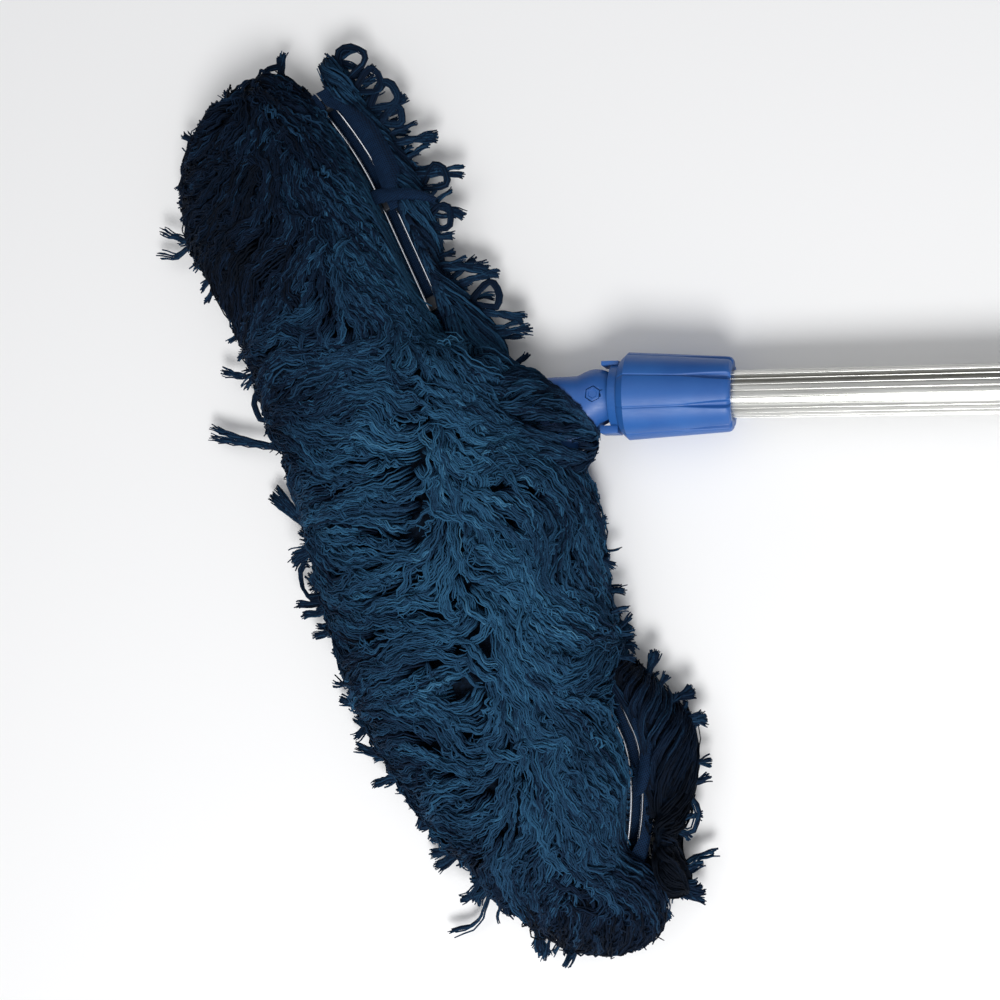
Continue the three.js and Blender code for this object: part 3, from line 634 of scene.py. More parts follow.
def end_cap(material):
    """The cup on the pole's end and its flat tab, with the eye it hangs by."""
    start, end = along_pole("end_cap")
    tube_end = along_pole("pole_outer_tube")[1]
    grip_end = along_pole("hand_grip")[1] + 0.3
    floor, eye = tube_end + 0.3, tube_end + 24
    profile = [(start, 0.6), (start, 12), (start + 1, 13), (floor, 13), (floor, SLEEVE_BORE)]
    profile += [(grip_end, SLEEVE_BORE), (grip_end, 16.4), (grip_end + 2, CAP_RADIUS)]
    profile += [(floor + 5, CAP_RADIUS), (floor + 10, 12), (floor + 10, 0.6)]
    cap = turned("end_cap_skin", round_profile(profile, 0.6), material)
    turn = np.linspace(-math.pi / 2, math.pi / 2, 40)
    outline = [(floor + 2, 13), (floor + 2, -13)]
    outline += [(eye + 12 * math.cos(a), 12 * math.sin(a)) for a in turn]
    tab = pole_plate(np.array(outline), 3.5, material)
    core = pole_box((start + 0.4, -5, -5), (floor + 9, 5, 5), material)
    cut(cap, [tab, core], "UNION")
    cut(cap, [pole_disc(eye, EYE_RADIUS, 9, 64, material)])
    bevel(cap, 0.7, 3, 50)
    stand_in(crisp(cap, 35), "pole_outer", "blue_plastic", "end_cap")


# ---- collar ----

COLLAR_RADIUS = 23.5
COLLAR_MOUTH = 19.4
COLLAR_RIBS = 8
COLLAR_TAPER = 4.2
COLLAR_BEVEL = 0.075
COLLAR_WALL = 17.6
FLANGE_END = 22.8  # rear side of the adaptor's flange, which the collar turns on


def collar_radius(along, angle):
    """The collar's skin: flat-topped ribs, a fine line between them that opens into a groove to the rear."""
    front = COLLAR_MOUTH + (COLLAR_RADIUS - COLLAR_MOUTH) * min(along / COLLAR_BEVEL, 1)
    taper = COLLAR_TAPER * max(along - COLLAR_BEVEL, 0)
    phase = np.abs((angle / TURN * COLLAR_RIBS + 0.5) % 1 - 0.5) * 2  # 0 on a rib, 1 between two
    facet = 0.55 * phase**2
    line = 0.3 * step_up(phase, 0.93, 0.98)
    opening = 0.02 + 0.3 * step_up(along, 0.42, 1.0)
    depth = 1.9 * step_up(along, 0.42, 0.85)
    groove = depth * step_up(phase, 1 - opening, 1 - 0.35 * opening)
    return front - taper - facet - np.maximum(line, groove)


def collar(material):
    start, end = along_pole("locking_collar")
    length = end - start
    angles = angles_round(COLLAR_RIBS * 72)
    first, last = [0, 0.012, 0.03, 0.05, 0.066, 0.075, 0.086], [0.965, 0.985, 1]
    places = np.concatenate([first, np.linspace(0.12, 0.94, 30), last])
    profile = []
    for along in places:
        radius = collar_radius(along, angles)
        if along < 0.012:
            radius = radius - 0.6
        rear = np.clip((along - 0.95) / 0.05, 0, 1)
        radius = radius - 1.6 * (1 - np.sqrt(1 - rear**2))
        profile.append((start + along * length, radius))
    profile += [(end, 14.2), (end - 1.2, 12.95), (end - 4.6, 12.95), (end - 4.6, 17.0)]
    profile += [(FLANGE_END + 0.3, 17.0), (FLANGE_END + 0.3, 19.0), (19.0, 19.0), (19.0, COLLAR_WALL)]
    profile += [(start + 0.8, COLLAR_WALL), (start, 18.1)]
    piece = swept("collar_skin", profile, angles, material, 32)
    stand_in(piece, "collar", "blue_plastic", "locking_collar")


# ---- neck and adaptor ----

KNUCKLE = 15.2
NECK_END_GAP = 7.4  # from the neck's end to the hub's middle
CHEEK_INSIDE = 4.4
SOCKET_WALL = -15.3
BOSS_SEAT = 10.5
PIN_HEAD = 4.1
PIN_BORE = 3.1
SCREW_SPOTS = [(-32, 11), (-32, -11), (-46, 14), (-46, -14)]
TANG_HALF_WIDTH = 17.8
TANG_HALF_HEIGHT = 2.8
TANG_START = -23


def neck_point(x, y, z):
    """A point of the neck, from its place along the neck's own line, across and up, in mm from the pivot."""
    return np.stack(np.broadcast_arrays(y, -x - HUB_DISTANCE, z), axis=-1)


def neck_section(x):
    """Half-width and half-height of the neck: a ball at the pivot that fans out flat to the hub."""
    if x > -5:
        radius = math.sqrt(max(KNUCKLE**2 - max(x, 0) ** 2, 0.2))
        return radius, radius * 0.94
    neck_end = NECK_END_GAP - HUB_DISTANCE
    along = (x + 5) / (neck_end + 5)
    width = KNUCKLE + 14.8 * math.sin(along * 0.5 * math.pi)
    height = KNUCKLE * 0.94 + (8.6 - KNUCKLE * 0.94) * float(step_up(along, 0, 1))
    return width, height


def neck_blank(name, material):
    angles = angles_round(96)
    ball = KNUCKLE * np.sin(np.linspace(0.499, 0.02, 14) * math.pi)
    places = np.concatenate([ball, np.linspace(-1, NECK_END_GAP - HUB_DISTANCE, 46)])
    rings = []
    for x in places:
        width, height = neck_section(x)
        power = 1 - 0.35 * min(max(-x / 40, 0), 1)
        across = np.sign(np.cos(angles)) * np.abs(np.cos(angles)) ** power
        up = np.sign(np.sin(angles)) * np.abs(np.sin(angles)) ** power
        rings.append(neck_point(x, width * across, height * up))
    return lofted(name, rings, material)


def neck_box(low, high, material):
    """A block given by its corners along the neck, across and up."""
    return box_from(in_head(neck_point(*box_corners(low, high).T)), material)


def neck_post(x, y, low, high, radius, material, sides=48):
    angles = angles_round(sides)
    rings = [neck_point(x + radius * np.cos(angles), y + radius * np.sin(angles), z) for z in (low, high)]
    return lofted("tool", rings, material)


def pivot_pin(material):
    """The pin of the tilt pivot, whose six-sided head shows in the top cover, with the nut's thread below."""
    rings = []
    bottom, top = -BOSS_SEAT - 3.4, BOSS_SEAT + 3.5
    profile = [(bottom, 2.4, 0), (bottom + 0.4, 2.8, 0), (BOSS_SEAT, 2.8, 0), (BOSS_SEAT + 0.3, PIN_HEAD, 1)]
    profile += [(top - 0.5, PIN_HEAD, 1), (top - 0.15, PIN_HEAD - 0.18, 1), (top, PIN_HEAD - 0.55, 1)]
    profile += [(top, PIN_HEAD - 1.5, 1), (top - 0.35, PIN_HEAD - 1.9, 1)]
    angles = angles_round(72)
    phase = (angles / TURN * 6) % 1 - 0.5
    flats = math.cos(math.pi / 6) / np.cos(phase * TURN / 6)
    for z, radius, flat in profile:
        r = radius * (1 + flat * (flats - 1))
        rings.append(neck_point(r * np.cos(angles), r * np.sin(angles), z))
    piece = lofted("pivot_pin", rings, material)
    stand_in(crisp(piece, 35), "neck", "blue_plastic", "pivot_bolt")


def neck_shell(side, material):
    name = "neck_cover_top" if side > 0 else "neck_cover_bottom"
    shell = neck_blank(name, material)
    gap = 0.15
    low, high = (gap, 60) if side > 0 else (-60, -gap)
    cut(shell, [neck_box((-90, -60, low), (40, 60, high), material)], "INTERSECT")
    end = NECK_END_GAP - HUB_DISTANCE
    tang_end = (TANG_START, TANG_HALF_WIDTH, TANG_HALF_HEIGHT)
    tools = [
        neck_box((SOCKET_WALL, -50, -CHEEK_INSIDE), (40, 50, CHEEK_INSIDE), material),
        neck_box((end - 5, -TANG_HALF_WIDTH, -TANG_HALF_HEIGHT), tang_end, material),
        neck_post(0, 0, -40, 40, PIN_BORE, material),
    ]
    if side > 0:
        tools.append(neck_post(0, 0, BOSS_SEAT, 40, PIN_HEAD + 0.35, material, 6))
    else:
        tools.append(neck_post(0, 0, -40, -BOSS_SEAT, 5, material))
    for x, y in SCREW_SPOTS:
        tools.append(neck_post(x, y, -40, 6.5, 2.1, material, 24))
        if side < 0:
            tools.append(neck_post(x, y, -40, -6.8, 3.6, material, 32))
    cut(shell, tools)
    bevel(shell, 0.35, 3, 50)
    node = "neck_shell_top" if side > 0 else "neck_shell_bottom"
    stand_in(crisp(shell, 40), "neck", "blue_plastic", node)


def adaptor(material):
    """The cup that holds the tongue of the tilt pivot, with the plug that the tube slides over."""
    cup_bore, cup_radius, floor, mouth = 16, 17.2, 17, 8.2
    flange, plug, plug_end = 18.6, 10.9, 62
    profile = [
        (floor, 0.6),
        (floor, cup_bore - 1.2),
        (floor - 1.2, cup_bore),
        (mouth + 0.4, cup_bore),
        (mouth, cup_bore + 0.4),
        (mouth, cup_radius - 0.4),
        (mouth + 0.4, cup_radius),
        (19.3, cup_radius),
        (19.3, flange - 0.3),
        (19.6, flange),
        (FLANGE_END - 0.3, flange),
        (FLANGE_END, flange - 0.3),
        (FLANGE_END, 12.3),
        (25.7, 12.3),
        (25.7, plug),
        (plug_end - 1, plug),
        (plug_end, plug - 1),
        (plug_end, 0.6),
    ]
    cup = turned("adaptor_body", profile, material)
    tongue_half, tongue_radius = 3.2, 12
    blocks = [pole_disc(0, tongue_radius, tongue_half, 96, material)]
    blocks.append(pole_box((0, -8, -tongue_half), (floor + 1, 8, tongue_half), material))
    blocks.append(pole_box((floor - 0.5, -4, -4), (61.5, 4, 4), material))
    blocks.append(pole_box((3, -cup_radius - 3, -7), (12.4, -cup_bore - 0.2, 7), material))
    blocks.append(pole_box((3, cup_bore + 0.2, -7), (12.4, cup_radius + 1.2, 7), material))
    cut(cup, blocks, "UNION")
    cut(cup, [pole_disc(0, PIN_BORE, 9, 96, material)])
    bevel(cup, 0.3, 2, 50)
    stand_in(crisp(cup, 35), "pole_inner", "blue_plastic", "adaptor_core")


# ---- wire frame and its woven backing ----

FRAME_HALF = 228
WIRE_RADIUS = 1
WIRE_SPREAD = 3.5
WIRE_ROOT = 14
WIRE_TIP = 224.5  # where the wire starts to turn back
SADDLES = {1: (92, 158), -1: (92, 136)}  # places along each wing
TIP_BEND_START = 170
TIP_BEND = {1: 9, -1: 26}


def bow(s):
    """How far the frame's centre line is bent to the front."""
    s = np.asarray(s, float)
    tip = np.where(s > 0, TIP_BEND[1], TIP_BEND[-1])
    return tip * (np.maximum(np.abs(s) - TIP_BEND_START, 0) / (FRAME_HALF - TIP_BEND_START)) ** 1.6


def wing_of(side):
    return "upper" if side > 0 else "lower"


def bend_with_wing(piece):
    """Bakes the piece's place into its mesh."""
    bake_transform(piece)


def stand_in_wing(piece, node):
    """Bakes a wing's piece into place and hides the CAD node that it stands for."""
    bend_with_wing(piece)
    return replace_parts(piece, node)


def tube_rings(paths, radii, sides):
    """Rings of points round many paths at once: paths are strand, step, place, and radii strand, step."""
    tangents = np.gradient(paths, axis=1)
    tangents /= np.linalg.norm(tangents, axis=2, keepdims=True) + 1e-12
    across = np.cross(tangents, UP)
    steep = np.linalg.norm(across, axis=2, keepdims=True) < 0.05
    across = np.where(steep, np.cross(tangents, [1.0, 0, 0]), across)
    across /= np.linalg.norm(across, axis=2, keepdims=True) + 1e-12
    lift = np.cross(across, tangents)
    angles = (np.arange(sides) + 0.5) * TURN / sides
    return paths[:, :, None] + radii[:, :, None, None] * (
        np.cos(angles)[:, None] * across[:, :, None] + np.sin(angles)[:, None] * lift[:, :, None]
    )


def frame_wire(side, material):
    straight = np.linspace(WIRE_ROOT, TIP_BEND_START, 60)
    places = np.concatenate([straight, np.linspace(TIP_BEND_START, WIRE_TIP, 40)[1:]])
    centre = bow(side * places)
    turn = np.linspace(0, math.pi, 14)[1:-1]
    tip = bow(side * FRAME_HALF) + WIRE_SPREAD * np.cos(turn)
    s = np.concatenate([places, places[-1] + WIRE_SPREAD * np.sin(turn), places[::-1]])
    f = np.concatenate([centre + WIRE_SPREAD, tip, centre[::-1] - WIRE_SPREAD])
    path = in_head(np.stack([side * s, f, np.zeros(len(s))], axis=1))[None]
    sides = 20
    radii = np.full((1, len(s)), WIRE_RADIUS * MM)
    rings = tube_rings(path, radii, sides)[0].reshape(-1, 3)
    wing = wing_of(side)
    piece = face_outwards(piece_from(f"{wing}_wire", rings, ring_faces(len(s), sides), material))
    stand_in_wing(crisp(piece, 60), f"{wing}_frame_wire")


def wire_guard(side, material):
    """The cap over the turn at a wire's tip."""
    start, end, half, across = 225.5, 232, 2.4, WIRE_SPREAD + 2.2
    f = float(bow(side * FRAME_HALF))
    turn = np.linspace(-math.pi / 2, math.pi / 2, 13)
    outline = [(start, -across), (start, across)]
    outline += [(end - 3 + 3 * math.cos(a), (across - 3) * np.sign(a) + 3 * math.sin(a)) for a in turn[::-1] if a]
    rings = [[(side * s, f + reach, z) for s, reach in outline] for z in (-half, half)]
    wing = wing_of(side)
    piece = lofted(f"{wing}_wire_guard", rings, material)
    bevel(piece, 0.6, 3, 40)
    stand_in(crisp(piece, 35), f"{wing}_wing", "dark_plastic", f"{wing}_tip_guard")


def wire_spacer(side, number, at, material):
    """The low saddle that holds both legs of a wire apart; they lie in it to half their thickness."""
    length, rim, under, over = 8, 2.4, -2.6, 0.15
    f = float(bow(side * at))
    across = WIRE_SPREAD + rim
    outline = [(-length / 2, -across), (length / 2, -across), (length / 2, across), (-length / 2, across)]
    rings = [[(side * at + s, f + reach, z) for s, reach in outline] for z in (under, over)]
    wing = wing_of(side)
    piece = lofted(f"{wing}_wire_saddle_{number}", rings, material)
    bevel(piece, 0.5, 3, 40)
    stand_in(crisp(piece, 35), f"{wing}_wing", "dark_plastic", f"{wing}_wire_spacer_{number}")


POCKET_START = 36.5
POCKET_END = 236
POCKET_HALF_WIDTH = 9.4
POCKET_HALF_HEIGHT = 4.5
CLOTH_HALF = 0.6  # half the cloth's thickness
SLIT_HALF = 4.9


def ripple(s, f, size, seed):
    """A smooth random field of about -1 to 1, from a few crossing waves."""
    rng = np.random.default_rng(seed)
    total = np.zeros(np.broadcast(s, f).shape)
    waves = 7
    for _ in range(waves):
        heading, phase = rng.uniform(0, TURN, 2)
        pitch = size * rng.uniform(0.7, 1.6)
        total += np.sin(TURN / pitch * (s * math.cos(heading) + f * math.sin(heading)) + phase)
    return total / math.sqrt(waves)


def pocket_line(opening, corner=2.2):
    """Points round the pocket's section from one edge of its slit to the other, as across and up."""
    wide, high = POCKET_HALF_WIDTH, POCKET_HALF_HEIGHT
    quarter = np.linspace(0, math.pi / 2, 6)
    line = [np.array([[opening, high], [(opening + wide - corner) / 2, high]])]
    for centre_f, centre_z, start in (
        (wide - corner, high - corner, math.pi / 2),
        (wide - corner, corner - high, 0),
        (corner - wide, corner - high, -math.pi / 2),
        (corner - wide, high - corner, -math.pi),
    ):
        angles = start - quarter
        line.append(np.stack([centre_f + corner * np.cos(angles), centre_z + corner * np.sin(angles)], axis=1))
    line.append(np.array([[-(opening + wide - corner) / 2, high], [-opening, high]]))
    return np.concatenate(line)


def thickened(line, half):
    """A closed loop that far to either side of an open line of points, given as across and up."""
    step = np.gradient(line, axis=0)
    normal = np.stack([step[:, 1], -step[:, 0]], axis=1)
    normal /= np.linalg.norm(normal, axis=1, keepdims=True)
    return np.concatenate([line - normal * half, (line + normal * half)[::-1]])


def backing_pocket(side, material):
    """Woven cloth folded into a pocket round the wires, with rolled hems along the slit in its upper side."""
    places = np.linspace(POCKET_START, POCKET_END, 180)
    rings = []
    for place in places:
        opened = step_up(place, 46, 64) * (1 - step_up(place, 217, 228))
        opening = 0.35 + SLIT_HALF * float(opened)
        line = pocket_line(opening)
        hem = np.ones(len(line))
        hem[[0, -1]] = 1.5
        loop = thickened(line, (CLOTH_HALF * hem)[:, None])
        crease = 0.35 * ripple(np.full(len(loop), side * place), loop[:, 0] * 3 + loop[:, 1] * 5, 26, 11)
        s = np.full(len(loop), side * place)
        f = bow(s) + loop[:, 0] * (1 + 0.02 * crease)
        rings.append(np.stack([s, f, loop[:, 1] + crease], axis=1))
    wing = wing_of(side)
    piece = crisp(lofted(f"woven_backing_{wing}", rings, material), 60)
    stand_in_wing(piece, f"backing_{wing}")


def hub_wrap(material):
    """The strip of backing that joins the two pockets round the hub, open to the neck."""
    reach = POCKET_START - 1
    turn = np.linspace(0, math.pi / 2, 6)
    front, rear, high, corner = 8.9, -6.0, 7.5, 2.6
    line = [np.array([[rear, high], [0, high]])]
    upper = np.stack([front - corner + corner * np.sin(turn), high - corner + corner * np.cos(turn)], axis=1)
    line += [upper, upper[::-1] * [1, -1], np.array([[0, -high], [rear, -high]])]
    loop = thickened(np.concatenate(line), CLOTH_HALF)
    places = np.linspace(-reach, reach, 60)
    rings = []
    for place in places:
        crease = 0.25 * ripple(np.full(len(loop), place), loop[:, 0] * 3 + loop[:, 1] * 5, 22, 12)
        rings.append(np.stack([np.full(len(loop), place), loop[:, 0], loop[:, 1] + crease], axis=1))
    piece = crisp(lofted("woven_backing_hub", rings, material), 60)
    stand_in(piece, "neck", "backing_cloth", "backing_middle")


def cloth_flap(name, side, places, inner, outer, full, material):
    """A soft strip of backing beside the wires, puffed in the middle, its outer edge rolled down.

    inner and outer are distances from the frame's line, as functions of s.
    """
    across = np.linspace(0, 1, 18)
    rings = []
    for s in places:
        f = bow(s) + inner(s) + (outer(s) - inner(s)) * across
        ends = 1 - np.abs(2 * (s - places[0]) / (places[-1] - places[0]) - 1) ** 6
        top = 5.4 + full * ends * np.sin(math.pi * np.minimum(across * 1.15, 1))
        top = top - 4.2 * step_up(across, 0.72, 1.0)
        top = top + 0.3 * ripple(np.full(len(f), s), 2 * f, 24, 31)
        upper = np.stack([np.full(len(f), s), f, top + CLOTH_HALF], axis=1)
        lower = np.stack([np.full(len(f), s), f, top - CLOTH_HALF], axis=1)
        rings.append(np.concatenate([upper, lower[::-1]]))
    piece = crisp(lofted(name, rings, material), 60)
    widths = [abs(outer(s) - inner(s)) + full for s in places]
    wing = wing_of(side)
    stand_in_wing(piece, f"backing_{wing}")


def hem_band(material):
    """The hem that crosses the rear wire and runs out over the pile's edge."""
    knots = [(163, 10, 6.2), (162, 5, 7.6), (160, 0, 8.4), (157, -6, 8.8)]
    knots = np.array(knots + [(154, -13, 8.6), (150, -20, 7.4), (143, -27, 4.5)])
    t = np.linspace(0, 1, 60)
    line = np.stack([np.interp(t, np.linspace(0, 1, len(knots)), knots[:, i]) for i in range(3)], axis=1)
    for _ in range(30):
        line[1:-1] = (line[:-2] + 2 * line[1:-1] + line[2:]) / 4
    step = np.gradient(line, axis=0)
    aside = np.cross(step, UP)
    aside /= np.linalg.norm(aside, axis=1, keepdims=True)
    width, half = 6.4, 0.55
    v = np.linspace(-0.5, 0.5, 10)
    rings = []
    for point, out, share in zip(line, aside, t):
        reach = width * (1 + 0.35 * math.exp(-((share - 0.25) / 0.2) ** 2)) * (1 - 0.5 * share**6)
        row = point + np.outer(v * reach, out)
        row[:, 2] += -5 * v**2 + 0.2 * np.sin(v * 20 + share * 9)
        rings.append(np.concatenate([row + [0, 0, half], (row - [0, 0, half])[::-1]]))
    piece = crisp(lofted("hem_band", rings, material), 60)
    return stand_in_wing(piece, "backing_upper")


def cloth_flaps(material):
    upper_inner = smooth_line((150, -1.2), (170, -2.2), (184, -4.8), (229, -4.8))
    upper_outer = smooth_line((150, -8), (160, -13), (178, -16), (208, -17), (220, -13), (229, -6.5))
    trim = [hem_band(material)]
    places = np.linspace(150, 229, 90)
    cloth_flap("woven_flap_upper", 1, places, upper_inner, upper_outer, 2.4, material)
    lower_inner = smooth_line((-202, -0.4), (-192, -0.8), (-184, -4.8), (-154, -4.8))
    lower_outer = smooth_line((-202, -7), (-190, -13), (-172, -18), (-160, -15), (-154, -8))
    places = np.linspace(-200, -154, 60)
    cloth_flap("woven_flap_lower", -1, places, lower_inner, lower_outer, 2.0, material)


# ---- yarn pile ----

STRAND_RADIUS = 0.45
STRAND_SIDES = 4
STRAND_STEPS = 12
STRANDS_IN_A_PIECE = 2100
PILE_LOWEST = FLOOR + 1.0
SEAM = 40  # where the cores of the middle and of a wing meet


def smooth_line(*knots):
    """A function of s that passes near the knots given, as (s, value), with its corners rounded off."""
    places = np.linspace(-320, 320, 641)
    known = np.array(sorted(knots), float)
    values = np.interp(places, known[:, 0], known[:, 1])
    window = np.hanning(25)
    values = np.convolve(np.pad(values, 12, "edge"), window / window.sum(), "valid")
    return lambda s: np.interp(s, places, values)


class Mound:
    """A rounded heap of pile for strands to lie on: its edges, crest and top along the frame."""

    def __init__(self, middle, half, front, rear, crest, top, base=-9.0, roundness=2.3, ends=8):
        self.middle, self.half = middle, half
        self.front, self.rear, self.crest, self.top = front, rear, crest, top
        self.base, self.roundness, self.ends = base, roundness, ends
        self.low = base - (FLOOR + 0.6)

    def level(self, points):
        """1 on the mound's skin, less inside it and more outside."""
        s, f, z = points[..., 0], points[..., 1], points[..., 2]
        crest = self.crest(s)
        side = np.where(f > crest, self.front(s) - crest, crest - self.rear(s))
        tall = np.where(z > self.base, self.top(s) - self.base, self.low)
        power = self.roundness
        across = (np.abs(f - crest) / side) ** power + (np.abs(z - self.base) / tall) ** power
        return (across + (np.abs(s - self.middle) / self.half) ** self.ends) ** (1 / power)

    def slope(self, points):
        """How the level rises along each coordinate, per mm."""
        small = 0.5
        rise = [self.level(points + small * axis) - self.level(points - small * axis) for axis in np.eye(3)]
        return np.stack(rise, axis=-1) / (2 * small)

    def normal(self, points):
        slope = self.slope(points)
        return slope / (np.linalg.norm(slope, axis=-1, keepdims=True) + 1e-9)

    def settle(self, points, height):
        """Brings points to a height above the skin."""
        for _ in range(2):
            slope = self.slope(points)
            size = np.linalg.norm(slope, axis=-1, keepdims=True) + 1e-9
            off = (self.level(points)[..., None] - 1) / size
            points = points + (height[:, None] - np.clip(off, -12, 12)) * slope / size
        return points

    def skin(self, s, angle, level=1.0):
        """A point of the section at s, by its angle from the front edge over the top to the rear edge."""
        power = self.roundness
        left = np.clip(1 - (np.abs(s - self.middle) / self.half) ** self.ends, 0.02, 1) ** (1 / power)
        across = np.sign(np.cos(angle)) * np.abs(np.cos(angle)) ** (2 / power)
        up = np.sign(np.sin(angle)) * np.abs(np.sin(angle)) ** (2 / power)
        crest = self.crest(s)
        side = np.where(across > 0, self.front(s) - crest, crest - self.rear(s))
        tall = np.where(up > 0, self.top(s) - self.base, self.low)
        return np.stack([s, crest + side * left * level * across, self.base + tall * left * level * up], axis=-1)


MAIN = Mound(
    middle=0,
    half=268,
    front=smooth_line((-268, 94), (-235, 103), (-200, 113), (-172, 121), (-130, 130), (-90, 135), (-40, 127),
                      (20, 118), (80, 115), (140, 110), (190, 121), (225, 120), (270, 112)),
    rear=smooth_line((-268, 10), (-245, 14), (-225, 26), (-200, 12), (-160, 7), (-145, 0), (-130, -12),
                     (-100, -16), (-60, -30), (-38, -34), (-20, -30), (0, -24), (25, -22), (42, -26), (55, -12),
                     (66, 5), (170, 7), (200, 10), (235, 15), (270, 20)),
    crest=smooth_line((-268, 45), (-200, 42), (-100, 36), (0, 30), (60, 36), (200, 44), (268, 45)),
    top=smooth_line((-268, 26), (-200, 36), (-100, 43), (0, 44), (100, 42), (200, 36), (268, 28)),
)
UPPER_FRINGE = Mound(
    middle=152,
    half=108,
    front=smooth_line((45, -4), (170, -4), (200, -2), (235, 4), (260, 8)),
    rear=smooth_line((45, -30), (60, -26), (80, -19), (100, -11), (115, -8), (130, -14), (160, -20),
                     (200, -14), (225, -7), (250, -7)),
    crest=smooth_line((45, -14), (115, -6.5), (160, -12), (225, -5), (250, -1)),
    top=smooth_line((45, 12), (70, 5), (200, 1), (250, 8)),
    ends=6,
)
LOWER_FRINGE = Mound(
    middle=-192,
    half=62,
    front=smooth_line((-250, 22), (-225, 12), (-200, 2), (-170, -4), (-130, -4)),
    rear=smooth_line((-250, 4), (-232, 4), (-205, -20), (-178, -31), (-152, -22), (-130, -14)),
    crest=smooth_line((-250, 10), (-225, 4), (-200, -9), (-170, -16), (-130, -9)),
    top=smooth_line((-250, 14), (-200, 8), (-130, 14)),
    ends=6,
)
NECK_COVER = Mound(
    middle=2,
    half=36,
    front=smooth_line((-40, 24), (40, 24)),
    rear=smooth_line((-34, -44), (-20, -51), (-8, -52), (4, -45), (24, -37), (36, -30)),
    crest=smooth_line((-40, -6), (40, -6)),
    top=smooth_line((-40, 22), (0, 25), (40, 20)),
    base=2.0,
    ends=6,
)

FRONT_LEAN = smooth_line((-275, -2.2), (-230, -0.7), (-180, -0.1), (-120, 0.45), (-60, 0.5), (0, 0.35),
                         (60, 0.45), (110, -0.1), (160, -0.8), (215, -0.3), (250, 0.5), (275, 1.6))
PARTING = smooth_line((-270, 35), (-184, 35), (-131, 33), (-76, 31), (-36, 21), (14, 6), (60, 2), (90, 24),
                      (150, 32), (270, 36))
WIRE_SHOWS = smooth_line((-230, 0), (-214, 1), (-156, 1), (-144, 0), (82, 0), (98, 1), (216, 1), (232, 0))
FRONT_PARTING = smooth_line((-214, 5.4), (-194, 5.4), (-186, -2.6), (-150, -2.6), (80, 5.4), (198, 5.4),
                            (208, 0.2))
REAR_PARTING = smooth_line((146, 5.4), (164, 11), (178, 15), (208, 16), (224, 11), (240, 5.4))


def turn_flat(heading, angle):
    """Headings turned about the vertical."""
    cosine, sine = np.cos(angle), np.sin(angle)
    s, f = heading[:, 0].copy(), heading[:, 1].copy()
    heading[:, 0] = s * cosine - f * sine
    heading[:, 1] = s * sine + f * cosine
    return heading


def flat_heading(along, front):
    along, front = np.broadcast_arrays(np.atleast_1d(along), np.atleast_1d(front))
    return np.stack([along, front, np.zeros(along.shape)], axis=1)


def mixed(first, second, share):
    """Headings between two, as unit vectors."""
    heading = first * (1 - share)[:, None] + second * share[:, None]
    return heading / (np.linalg.norm(heading, axis=1, keepdims=True) + 1e-9)


def main_flow(points):
    """Out to the front from the parting; behind it, along the frame, and to the rear by the neck."""
    s, f = points[:, 0], points[:, 1]
    to_front = flat_heading(FRONT_LEAN(s), 1.0)
    edge = step_up(-f, -5, 28)
    by_neck = flat_heading(-0.62 - 0.35 * edge, -0.8 + 0.7 * edge)
    by_wires = flat_heading(-0.94, -0.28)
    foot = flat_heading(-0.97, -0.15)
    rearwards = mixed(by_neck, by_wires, step_up(s, 50, 90))
    rearwards = mixed(rearwards, foot, step_up(-s, 120, 160))
    share = 2 * step_up(f - PARTING(s), -42, 46) - 1
    along = flat_heading(-1.0, 0.0) * (1 - np.abs(share))[:, None]
    heading = to_front * np.maximum(share, 0)[:, None] + rearwards * np.maximum(-share, 0)[:, None] + along
    heading /= np.linalg.norm(heading, axis=1, keepdims=True) + 1e-9
    swirl = 0.5 * ripple(s, f, 90, 3) + 0.42 * ripple(s, f, 34, 4) + 0.3 * ripple(s, f, 15, 13)
    calm = step_up(s, 70, 110) * (1 - step_up(f, 40, 60))
    return turn_flat(heading, swirl * (1 - 0.7 * calm))


def crest_flow(points):
    """Down along the crest and a little to the rear, so that it lies over the parting."""
    s, f = points[:, 0], points[:, 1]
    heading = flat_heading(-0.86, -0.3 + 0.5 * step_up(s, 60, 120))
    return turn_flat(heading, 0.65 * ripple(s, f, 46, 17) + 0.4 * ripple(s, f, 17, 18))


def upper_fringe_flow(points):
    s, f = points[:, 0], points[:, 1]
    heading = flat_heading(-0.9, -0.3 - 0.4 * step_up(s, 150, 230))
    return turn_flat(heading, 0.25 * ripple(s, f, 40, 5))


def lower_fringe_flow(points):
    s, f = points[:, 0], points[:, 1]
    foot = step_up(-s, 200, 235)
    heading = flat_heading(0.6 - 1.5 * foot, -0.8 + 0.2 * foot)
    return turn_flat(heading, 0.18 * ripple(s, f, 40, 6))


def cover_flow(points):
    s, f = points[:, 0], points[:, 1]
    heading = flat_heading(-0.55 + 0.25 * step_up(s, -10, 30), -0.85)
    return turn_flat(heading, 0.35 * ripple(s, f, 26, 9))


def grow(mound, roots, flow, lengths, height):
    """The guide line of each lock: it sets off from its root, follows the flow over the mound and sinks."""
    here = roots
    line = [here]
    for i in range(1, STRAND_STEPS):
        t = i / (STRAND_STEPS - 1)
        normal = mound.normal(here)
        heading = flow(here)
        heading[:, 2] -= 0.45
        into = np.sum(heading * normal, axis=1, keepdims=True)
        heading = heading - into * normal
        heading /= np.linalg.norm(heading, axis=1, keepdims=True) + 1e-9
        here = here + heading * (lengths / (STRAND_STEPS - 1))[:, None]
        arch = height * math.sin(math.pi * min(0.12 + t, 1)) + (1 - t) * -2.5 + 1.0
        here = mound.settle(here, arch)
        here[:, 2] = np.maximum(here[:, 2], PILE_LOWEST + 0.6)
        line.append(here)
    return np.stack(line, axis=1)


